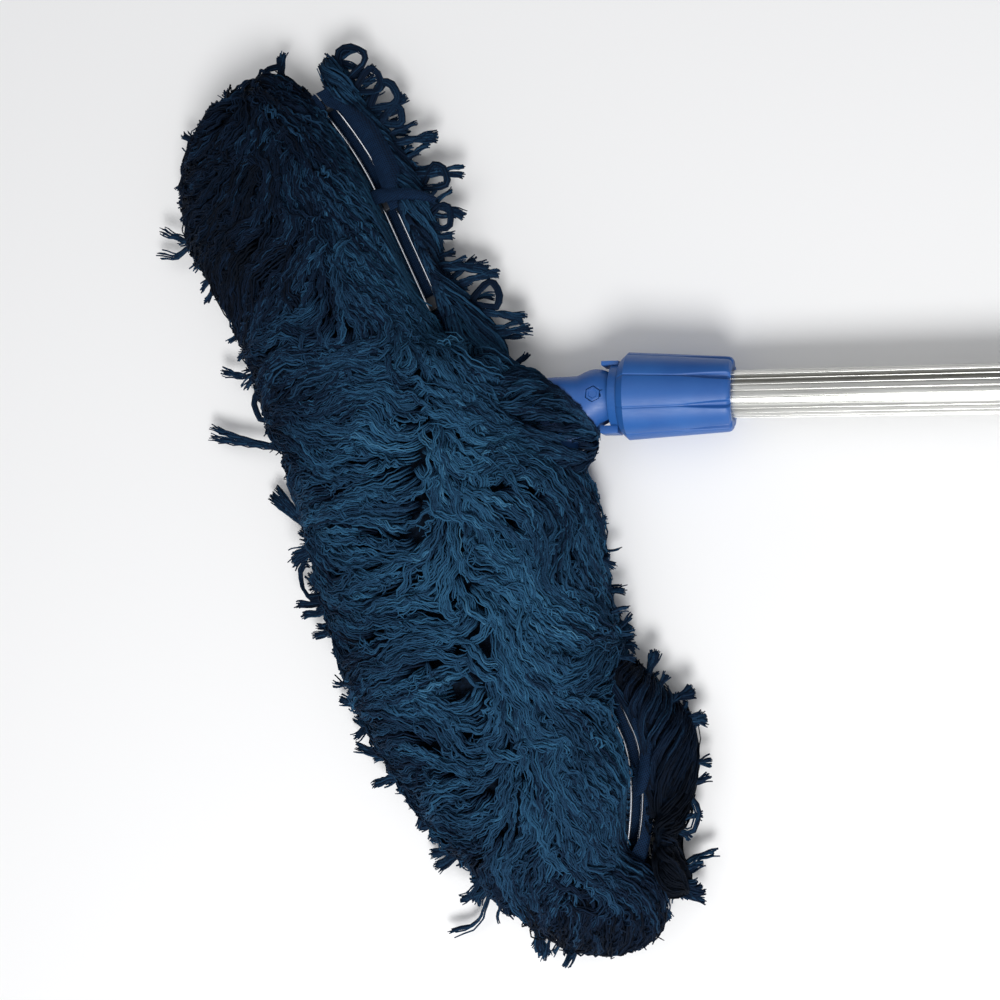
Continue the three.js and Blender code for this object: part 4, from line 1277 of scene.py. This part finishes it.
def strands_of(
    guides, count, width, rng, tone, crimp=0.6, pitch=12.0, splay=1.0, shortest=0.74, close=0.5, girth=1.0
):
    """Strands round each guide line, with their radii and tones. They crimp together and close up to a tip."""
    locks, steps = guides.shape[:2]
    step = np.gradient(guides, axis=1)
    along = step / (np.linalg.norm(step, axis=2, keepdims=True) + 1e-9)
    across = np.cross(along, [0, 0, 1.0])
    across /= np.linalg.norm(across, axis=2, keepdims=True) + 1e-6
    lift = np.cross(across, along)
    t = np.linspace(0, 1, steps)
    share = rng.uniform(shortest, 1, (locks, count, 1)) * t
    index = share * (steps - 1)
    low = np.minimum(index.astype(int), steps - 2)
    part = (index - low)[..., None]
    rows = np.arange(locks)[:, None, None]

    def at(values):
        return values[rows, low] * (1 - part) + values[rows, low + 1] * part

    angle = rng.uniform(0, TURN, (locks, count, 1))
    radius = width[:, None, None] * np.sqrt(rng.uniform(0, 1, (locks, count, 1)))
    narrowing = 1 - close * np.sin(share * math.pi * 0.7)
    stray = rng.normal(0, 0.9 * splay, (2, locks, count, 1)) * share**2 * 2.0
    length = np.linalg.norm(step, axis=2).sum(axis=1)[:, None, None]
    phase = rng.uniform(0, TURN, (locks, 1, 1)) + rng.normal(0, 0.8, (locks, count, 1))
    wave = TURN * share * length / pitch + phase
    swing = crimp * np.sin(wave) * np.minimum(share * 5, 1)
    sway = crimp * 0.7 * np.cos(wave) * np.minimum(share * 5, 1)
    aside = radius * np.cos(angle) * narrowing + stray[0] + swing
    above = radius * np.sin(angle) * narrowing * 0.45 + np.abs(stray[1]) * 0.35 + sway
    paths = at(guides) + at(across) * aside[..., None] + at(lift) * above[..., None]
    radii = STRAND_RADIUS * girth * rng.uniform(0.8, 1.25, (locks, count, 1)) * (1 - 0.45 * share**6)
    tones = tone[:, None, None] + rng.normal(0, 0.075, (locks, count, 1))
    # Darker towards the root: painted shade deep in the pile.
    tones = tones - 0.14 * np.clip(1 - share * 5, 0, 1)
    return [
        paths.reshape(-1, steps, 3),
        np.broadcast_to(radii, paths.shape[:3]).reshape(-1, steps),
        np.broadcast_to(tones, paths.shape[:3]).reshape(-1, steps),
    ]


def scatter(mound, count, rng, low=-15, high=195, level=0.94):
    """Roots spread evenly over a mound's skin."""
    index = np.arange(count)
    golden = (math.sqrt(5) - 1) / 2
    along = (index * golden + rng.uniform(-0.01, 0.01, count)) % 1
    s = mound.middle + mound.half * 0.985 * (2 * along - 1)
    angle = low + (high - low) * (index + rng.uniform(0, 1, count)) / count
    return mound.skin(s, np.radians(angle), level)


def crest_roots(count, rng):
    """Roots on either side of the parting."""
    s = rng.uniform(-246, 246, count)
    f = PARTING(s) + rng.normal(2, 15, count)
    roots = np.stack([s, f, MAIN.top(s)], axis=1)
    under = np.full(count, -1.0)
    return MAIN.settle(MAIN.settle(roots, under), under)


def lay_locks(mound, flow, count, strands, rng, lengths, width, heights, tone, roots=None, **manner):
    """Locks over a mound, each of that many strands. Their tones carry painted shade where the pile is deep, at
    its front edge, over stretches of the upper wing and towards the lower end, and painted light on the crest.
    """
    if roots is None:
        roots = scatter(mound, count, rng)
    roots[:, 2] = np.maximum(roots[:, 2], PILE_LOWEST + 1)
    size = rng.uniform(*lengths, count)
    height = rng.uniform(*heights, count)
    guides = grow(mound, roots, flow, size, height)
    s, f = roots[:, 0], roots[:, 1]
    tones = tone + rng.normal(0, 0.07, count) + 0.05 * ripple(s, f, 60, 8)
    # Painted light and shade by place: lighter on the crest, darker at the front edge, over stretches of the
    # upper wing and towards the lower end.
    crest = step_up(f, -25, 15) * (1 - step_up(f, 50, 95))
    tones += 0.12 * crest - 0.09 * step_up(f, 80, 115) - 0.2 * step_up(s, 5, 60) * step_up(f, 12, 44)
    tones -= 0.05 * step_up(-s, 80, 120)
    tones -= 0.22 * step_up(s, 90, 170) * step_up(f, 0, 45) + 0.4 * step_up(-s, 185, 245)
    return strands_of(guides, strands, rng.uniform(*width, count), rng, tones, **manner)


def keep_between(batch, side):
    """Parts the strands along the stretches where the wires show: side is 1 in front of them, -1 behind."""
    paths = batch[0]
    s, f = paths[..., 0], paths[..., 1]
    middle = bow(s)
    if side > 0:
        limit = np.maximum(f - middle, FRONT_PARTING(s))
    else:
        limit = np.minimum(f - middle, -REAR_PARTING(s))
    paths[..., 1] = f + WIRE_SHOWS(s) * (middle + limit - f)
    return batch


def neck_height(s, f):
    """How far the neck's skin is above its own middle, or 0 beside it."""
    x = -(f + HUB_DISTANCE)
    sizes = np.array([neck_section(v) for v in np.linspace(-HUB_DISTANCE + NECK_END_GAP, KNUCKLE, 80)])
    places = np.linspace(-HUB_DISTANCE + NECK_END_GAP, KNUCKLE, 80)
    width = np.interp(x, places, sizes[:, 0], left=0, right=0)
    height = np.interp(x, places, sizes[:, 1], left=0, right=0)
    across = np.clip(1 - (np.abs(s) / (width + 1.2)) ** 2.4, 0, 1)
    return height * across**0.5


def clear_of_parts(paths):
    """Lifts strands over, or presses them under, the neck, the hub and the backing."""
    s, f, z = paths[..., 0], paths[..., 1], paths[..., 2]
    over = z > -2
    solid = neck_height(s, f)
    hub = (np.abs(s) < POCKET_START + 1) & (f > -7.5) & (f < 11)
    pocket = (np.abs(s) >= POCKET_START + 1) & (np.abs(s) < POCKET_END + 2) & (np.abs(f - bow(s)) < 10.6)
    solid = np.maximum(solid, np.where(hub, 8.2, 0))
    solid = np.maximum(solid, np.where(pocket, 5.4, 0))
    solid = np.where(solid > 0, solid + 0.7, 0)
    z = np.where(over, np.maximum(z, solid), np.minimum(z, -solid))
    paths[..., 2] = np.maximum(z, PILE_LOWEST)


def spray(s, f, z, heading, length, strands, rng, curl=0.0, droop=0.0, width=1.6, fork=0.0, tone=0.35):
    """A tuft that stands out from the pile. It points to heading, in degrees from the front."""
    t = np.linspace(0, 1, STRAND_STEPS)
    guides = []
    for way in ((-fork, fork) if fork else (0,)):
        turn = np.radians(heading + way * t + curl * t**2)
        stride = length / (STRAND_STEPS - 1)
        path = np.cumsum(np.stack([np.sin(turn), np.cos(turn), -droop * t], axis=1) * stride, axis=0)
        guides.append(np.array([s, f, z]) + path - path[0])
    guides = np.stack(guides)
    guides[..., 2] = np.maximum(guides[..., 2], PILE_LOWEST + 0.6)
    amount = np.full(len(guides), float(width))
    tones = np.full(len(guides), tone)
    plies = max(strands // len(guides), 2)
    return strands_of(guides, plies, amount, rng, tones, crimp=0.4, splay=0.7, shortest=0.86, girth=1.3)


def loop_of_yarn(s, f, z, heading, length, rng, plies=14, tone=0.3):
    """A loop that stands out from the pile's edge."""
    t = np.linspace(0, 1, STRAND_STEPS)
    turn = math.radians(heading)
    out = length * np.sin(t * math.pi) ** 0.8
    aside = -0.42 * length * np.sin(t * TURN)
    along = out * math.sin(turn) + aside * math.cos(turn)
    front = out * math.cos(turn) - aside * math.sin(turn)
    guides = (np.array([s, f, z]) + np.stack([along, front, 0 * t], axis=1))[None]
    manner = {"crimp": 0.25, "splay": 0.1, "shortest": 0.99, "close": 0.0, "girth": 1.3}
    return strands_of(guides, plies, np.full(1, 2.0), rng, np.full(1, tone), **manner)


def tail(points, strands, rng, width=1.2, tone=0.35):
    """A long loose end that wanders through the points given and splays where it was cut."""
    points = np.array(points, float)
    knots = np.linspace(0, 1, len(points))
    t = np.linspace(0, 1, STRAND_STEPS)
    guide = np.stack([np.interp(t, knots, points[:, i]) for i in range(3)], axis=1)
    guide[1:-1] = (guide[:-2] + 2 * guide[1:-1] + guide[2:]) / 4
    manner = {"crimp": 0.3, "shortest": 0.9, "girth": 1.4}
    return strands_of(guide[None], strands, np.full(1, width), rng, np.full(1, tone), **manner)


# Tufts that stand out: s, f and z of the root, heading, length, strands, curl, fork
TUFTS = [
    (196, 112, -8, 35, 40, 12, 20, 6),
    (104, 110, -10, 26, 36, 16, 20, 5),
    (54, 110, -10, 34, 68, 40, 8, 6),
    (64, 112, -12, 60, 30, 16, 20, 8),
    (-12, 112, -10, 60, 62, 90, 8, 5),
    (-2, 114, -12, 30, 26, 24, 30, 8),
    (-22, 116, -12, 12, 26, 22, -20, 6),
    (-92, 112, -10, 50, 46, 90, 6, 9),
    (-104, 118, -12, 30, 30, 34, -20, 8),
    (-132, 122, -12, 54, 42, 80, 10, 8),
    (-118, 120, -14, 30, 30, 40, 30, 10),
    (-160, 112, -12, 25, 32, 50, 20, 10),
    (-192, 98, -14, 2, 40, 120, 0, 12),
    (-178, 104, -14, 16, 34, 80, 10, 12),
    (204, -14, -5, 153, 23, 34, 20, 8),
    (190, -16, -5, 198, 28, 50, 10, 5),
    (166, -20, -6, 200, 30, 44, 10, 12),
    (150, -18, -6, 224, 27, 34, 10, 6),
    (110, -12, -6, 206, 29, 30, 10, 7),
    (96, -18, -6, 185, 24, 24, 20, 8),
    (75, -22, -6, 212, 27, 34, 10, 7),
    (60, -22, -6, 190, 24, 20, 20, 5),
    (-20, -26, -10, 168, 26, 30, -10, 6),
    (-150, -18, -8, 130, 20, 40, 0, 6),
    (-163, -26, -8, 175, 15, 60, 10, 9),
    (-176, -28, -8, 190, 13, 60, 10, 9),
    (-236, 93, -14, -80, 26, 70, 0, 8),
    (-242, 80, -14, -86, 24, 60, 10, 9),
    (-248, 64, -14, -80, 22, 60, 10, 9),
    (-251, 48, -14, -92, 25, 80, 10, 9),
    (-244, 30, -14, -105, 24, 60, 10, 7),
    (-238, 18, -12, -115, 24, 50, 10, 8),
    (252, 30, -6, 95, 28, 26, 30, 7),
    (256, 60, -6, 70, 22, 24, 20, 5),
    (250, 90, -8, 50, 22, 24, 20, 6),
]
# Loops that stand out: s, f and z, heading, length
LOOPS = [
    (238, -4, -4, 135, 22),
    (230, -8, -4, 180, 18),
    (257, 34, -4, 100, 14),
    (258, 47, -4, 80, 12),
    (216, -12, -5, 170, 19),
    (206, -14, -5, 190, 15),
    (88, 106, -10, 10, 22),
    (-212, 4, -10, 214, 21),
    (84, -18, -6, 190, 18),
    (158, -20, -6, 175, 17),
    (140, -14, -6, 200, 16),
]
# Long loose ends: strands, then the points they pass through
TAILS = [
    (9, [(-238, 22, -8), (-246, 10, -12), (-242, 2, -14), (-243, -6, -14), (-245, -16, -14)]),
    (9, [(-212, 96, -12), (-216, 110, -15), (-226, 120, -16), (-232, 128, -17), (-229, 146, -17)]),
    (9, [(-48, 118, -12), (-40, 132, -14), (-26, 146, -15), (-12, 146, -15), (-4, 140, -14), (-8, 132, -12)]),
    (8, [(196, 112, -8), (204, 126, -12), (202, 138, -14), (212, 150, -14)]),
]


def edge_tufts(rng, count=260):
    """Short cut ends all round the pile's edge."""
    made = []
    for _ in range(count):
        s = rng.uniform(-262, 258)
        front = rng.random() < 0.62
        if front:
            place = MAIN.skin(np.array(s), np.array(math.radians(rng.uniform(-12, 16))), 0.9)
            heading = rng.normal(math.degrees(math.atan(float(FRONT_LEAN(s)) * 0.6)), 20)
        elif abs(s) < 34:
            continue
        else:
            fringe = UPPER_FRINGE if s > 60 else LOWER_FRINGE if s < -135 else MAIN
            place = fringe.skin(np.array(s), np.array(math.radians(rng.uniform(166, 190))), 0.9)
            heading = rng.normal(195, 24)
        length = rng.uniform(10, 24) if s > -135 or front else rng.uniform(7, 13)
        strands, width = int(rng.integers(6, 14)), 2.0
        if front and -215 < s < 30 and rng.random() < 0.4:
            length, strands, width = length * 1.5, strands * 2 + 6, 3.4
        made.append(spray(*place, heading, length, strands, rng, rng.normal(0, 25), 0.2, width))
    return made


def all_strands():
    rng = np.random.default_rng(7)
    undercoat = {"close": 0.2, "girth": 1.35}
    fuzz = {"crimp": 1.3, "pitch": 7, "splay": 2.2}
    # locks, strands in each, lengths, widths, heights over the mound, tone, lower for the deeper layers as
    # painted shade
    front = [
        lay_locks(MAIN, main_flow, 740, 8, rng, (34, 56), (5.0, 8.5), (0.0, 1.5), 0.43, **undercoat),
        lay_locks(MAIN, main_flow, 1900, 12, rng, (30, 56), (2.6, 5.4), (0.5, 4.0), 0.50, crimp=0.8),
        lay_locks(MAIN, main_flow, 700, 6, rng, (18, 36), (1.0, 2.4), (1.5, 5.0), 0.57, crimp=1.0),
        lay_locks(MAIN, main_flow, 520, 5, rng, (9, 19), (1.6, 3.4), (2.5, 5.0), 0.52, **fuzz),
    ]
    roots = crest_roots(330, rng)
    front += [
        lay_locks(MAIN, crest_flow, 330, 9, rng, (20, 40), (1.8, 3.6), (1.5, 4.5), 0.52, roots, crimp=0.9),
        lay_locks(NECK_COVER, cover_flow, 190, 11, rng, (22, 38), (2.0, 3.6), (0.5, 3.0), 0.40),
    ]
    batches = [keep_between(batch, 1) for batch in front]
    upper, lower = (UPPER_FRINGE, upper_fringe_flow), (LOWER_FRINGE, lower_fringe_flow)
    # The rear fringes take low tones, the lower fringe lowest, as painted shade.
    rear = [
        lay_locks(*upper, 260, 10, rng, (34, 58), (2.2, 3.8), (0, 2.5), 0.38, crimp=0.3),
        lay_locks(*lower, 200, 10, rng, (34, 58), (2.2, 3.4), (0, 2.5), 0.22, crimp=0.3),
    ]
    batches += [keep_between(batch, -1) for batch in rear]
    for s, f, z, heading, length, strands, curl, fork in TUFTS:
        batches.append(spray(s, f, z, heading, length, strands, rng, curl, 0.15, 2.4, fork))
    for s, f, z, heading, length in LOOPS:
        batches.append(loop_of_yarn(s, f, z, heading, length, rng))
    for strands, points in TAILS:
        batches.append(tail(points, strands, rng))
    batches += edge_tufts(rng)
    paths, radii, tones = [np.concatenate(parts) for parts in zip(*batches)]
    clear_of_parts(paths)
    return paths, radii, tones


def strand_quads(count):
    """Faces of many closed tubes of STRAND_STEPS rings of STRAND_SIDES points, in one array of quads."""
    j = np.arange(STRAND_SIDES)
    following = (j + 1) % STRAND_SIDES
    rows = np.arange(STRAND_STEPS - 1)[:, None] * STRAND_SIDES
    above = rows + STRAND_SIDES
    walls = np.stack([rows + j, rows + following, above + following, above + j], axis=-1)
    last = (STRAND_STEPS - 1) * STRAND_SIDES
    caps = np.array([j[::-1], last + j])
    one = np.concatenate([walls.reshape(-1, 4), caps])
    return (one[None] + (np.arange(count) * STRAND_STEPS * STRAND_SIDES)[:, None, None]).reshape(-1, 4)


def strand_uvs(count):
    """Each strand unrolled into its own cell of a square grid."""
    grid = math.ceil(math.sqrt(count))
    margin = 0.06
    j = np.arange(STRAND_SIDES)
    rows = np.arange(STRAND_STEPS - 1)[:, None] + 0 * j
    left, right = (j + 0 * rows) / STRAND_SIDES, (j + 1 + 0 * rows) / STRAND_SIDES
    low, high = rows / (STRAND_STEPS - 1), (rows + 1) / (STRAND_STEPS - 1)
    corners = [(left, low), (right, low), (right, high), (left, high)]
    walls = np.stack([np.stack(corner, -1) for corner in corners], axis=-2).reshape(-1, 4, 2)
    corner = np.array([[0, 0], [1, 0], [1, 0.08], [0, 0.08]])
    one = np.concatenate([walls, corner[None], (corner + [0, 0.92])[None]])
    cells = np.stack([np.arange(count) % grid, np.arange(count) // grid], axis=1)
    placed = cells[:, None, None] + margin + one[None] * (1 - 2 * margin)
    return (placed / grid).reshape(-1, 2)


def mesh_of_quads(name, points, quads):
    """A mesh made straight from arrays, which is quick for very many faces."""
    mesh = bpy.data.meshes.new(name)
    mesh.vertices.add(len(points))
    mesh.vertices.foreach_set("co", points.ravel().astype(np.float32))
    mesh.loops.add(quads.size)
    mesh.loops.foreach_set("vertex_index", quads.ravel().astype(np.int32))
    mesh.polygons.add(len(quads))
    mesh.polygons.foreach_set("loop_start", np.arange(0, quads.size, 4, dtype=np.int32))
    mesh.polygons.foreach_set("use_smooth", np.ones(len(quads), bool))
    mesh.update(calc_edges=True)
    return mesh


def yarn_piece(name, paths, radii, tones, material):
    rings = tube_rings(in_head(paths), radii * MM, STRAND_SIDES)
    count = len(paths)
    mesh = mesh_of_quads(name, rings.reshape(-1, 3), strand_quads(count))
    tone = mesh.attributes.new("tone", "FLOAT", "POINT")
    tone.data.foreach_set("value", np.repeat(tones, STRAND_SIDES, axis=1).ravel().astype(np.float32))
    uv = mesh.uv_layers.new(name="OFBake")
    uv.data.foreach_set("uv", strand_uvs(count).ravel().astype(np.float32))
    mesh.materials.append(material)
    mesh.validate()
    piece = bpy.data.objects.new(name, mesh)
    bpy.context.scene.collection.objects.link(piece)
    return piece


def yarn_pieces(material):
    """All strands, shared out into pieces of limited size for the middle, which ride on the neck, and for the two
    wings.
    """
    paths, radii, tones = all_strands()
    middle = paths[:, :, 0].mean(axis=1)
    inside = np.abs(paths[:, :, 0]).max(axis=1) < HUB_HALF
    groups = {"middle": inside, "upper": ~inside & (middle > 0), "lower": ~inside & (middle <= 0)}
    for part, chosen in groups.items():
        index = np.flatnonzero(chosen)
        pieces = math.ceil(len(index) / STRANDS_IN_A_PIECE)
        for number, share in enumerate(np.array_split(index, pieces)):
            name = f"yarn_{part}_{number + 1}"
            piece = yarn_piece(name, paths[share], radii[share], tones[share], material)
            if part == "middle":
                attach(piece, "neck")
            else:
                bend_with_wing(piece)
            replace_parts(piece, f"pile_{part}")


def pile_core(name, mound, low, high, material, side=0):
    """The dense underside of the pile, which the strands cover: a lumpy closed heap. Side 0 is the middle."""
    around = 72
    places = np.linspace(low, high, max(int((high - low) / 4), 3))
    angles = angles_round(around)
    rings = []
    for s in places:
        lumps = 0.88 + 0.025 * ripple(np.full(around, s), 60 * np.sin(angles), 26, 21)
        ring = mound.skin(np.full(around, s), angles, lumps)
        ring[:, 2] = np.maximum(ring[:, 2], PILE_LOWEST)
        rings.append(ring)
    piece = lofted(name, rings, material)
    if side:
        bend_with_wing(piece)
    else:
        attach(piece, "neck")
    return piece


def pile_cores(material):
    end = MAIN.half - 2
    pile_core("pile_core_middle", MAIN, -SEAM, SEAM, material)
    pile_core("pile_core_upper", MAIN, SEAM - 8, end, material, side=1)
    pile_core("pile_core_lower", MAIN, -end, 8 - SEAM, material, side=-1)
    for mound, side in ((UPPER_FRINGE, 1), (LOWER_FRINGE, -1)):
        low, high = mound.middle - mound.half + 3, mound.middle + mound.half - 3
        pile_core(f"fringe_core_{wing_of(side)}", mound, low, high, material, side=side)


def core_material():
    """Matted yarn deep in the pile, with a furrowed surface, coloured nearly black as painted shade."""
    material, shader = new_material("matted_yarn", srgb(8, 15, 26), 0.95)
    shader.inputs["Specular IOR Level"].default_value = 0.1
    n = Nodes(material)
    mat = n.noise(420, 5, (1, 1, 3))
    n.link(n.ramp(mat, [(0.3, srgb(4, 8, 15)), (0.75, srgb(14, 28, 46))]), shader.inputs["Base Color"])
    n.link(n.bump(mat, 0.0012, 0.9), shader.inputs["Normal"])
    return material


# ---- assembly ----


def finish_cad_nodes(finishes):
    """Gives each CAD node that still shows its detailed finish, by its record's slot."""
    for node in frame["nodes"].values():
        slot = node.data.materials[0].name if node.data.materials else "dark_plastic"
        chosen = next((finish for name, finish in finishes.items() if slot.startswith(name)), None)
        if chosen is None:
            print("no finish for", node.name, slot)
            continue
        node.data.materials[0] = chosen


make_camera()
make_light()
make_floor()
BLUE = plastic("blue_plastic_skin", srgb(42, 98, 170), srgb(32, 84, 156), 0.42)
DARK = plastic("dark_plastic_skin", srgb(40, 44, 52), srgb(28, 31, 38), 0.5)
GREY = plastic("grey_plastic_skin", srgb(146, 150, 156), srgb(122, 126, 132), 0.5)
ALUMINIUM = brushed_metal("drawn_aluminium", (0.74, 0.74, 0.71), (0.57, 0.57, 0.54), 0.26, (0.03, 1, 1))
STEEL = brushed_metal("bright_steel", (0.9, 0.92, 0.96), (0.7, 0.72, 0.78), 0.2, (1, 0.2, 1))
CLOTH = woven_cloth()
finishes = {
    "blue_plastic": BLUE,
    "dark_plastic": DARK,
    "grey_plastic": GREY,
    "aluminium": ALUMINIUM,
    "steel": STEEL,
    "rubber": rubber_grip(),
    "backing_cloth": CLOTH,
    "yarn": CLOTH,
}
finish_cad_nodes(finishes)
fluted_tube(ALUMINIUM)
plain_tube(ALUMINIUM)
collar(BLUE)
neck_shell(1, BLUE)
neck_shell(-1, BLUE)
adaptor(BLUE)
pivot_pin(BLUE)
for wing_side in (1, -1):
    frame_wire(wing_side, STEEL)
    backing_pocket(wing_side, CLOTH)
    wire_guard(wing_side, DARK)
    for number, at in enumerate(SADDLES[wing_side], 1):
        wire_spacer(wing_side, number, at, DARK)
hub_wrap(CLOTH)
cloth_flaps(CLOTH)
lock_body(DARK)
lock_nut(BLUE)
hand_grip(finishes["rubber"])
end_cap(BLUE)
yarn_pieces(yarn_material())
pile_cores(core_material())
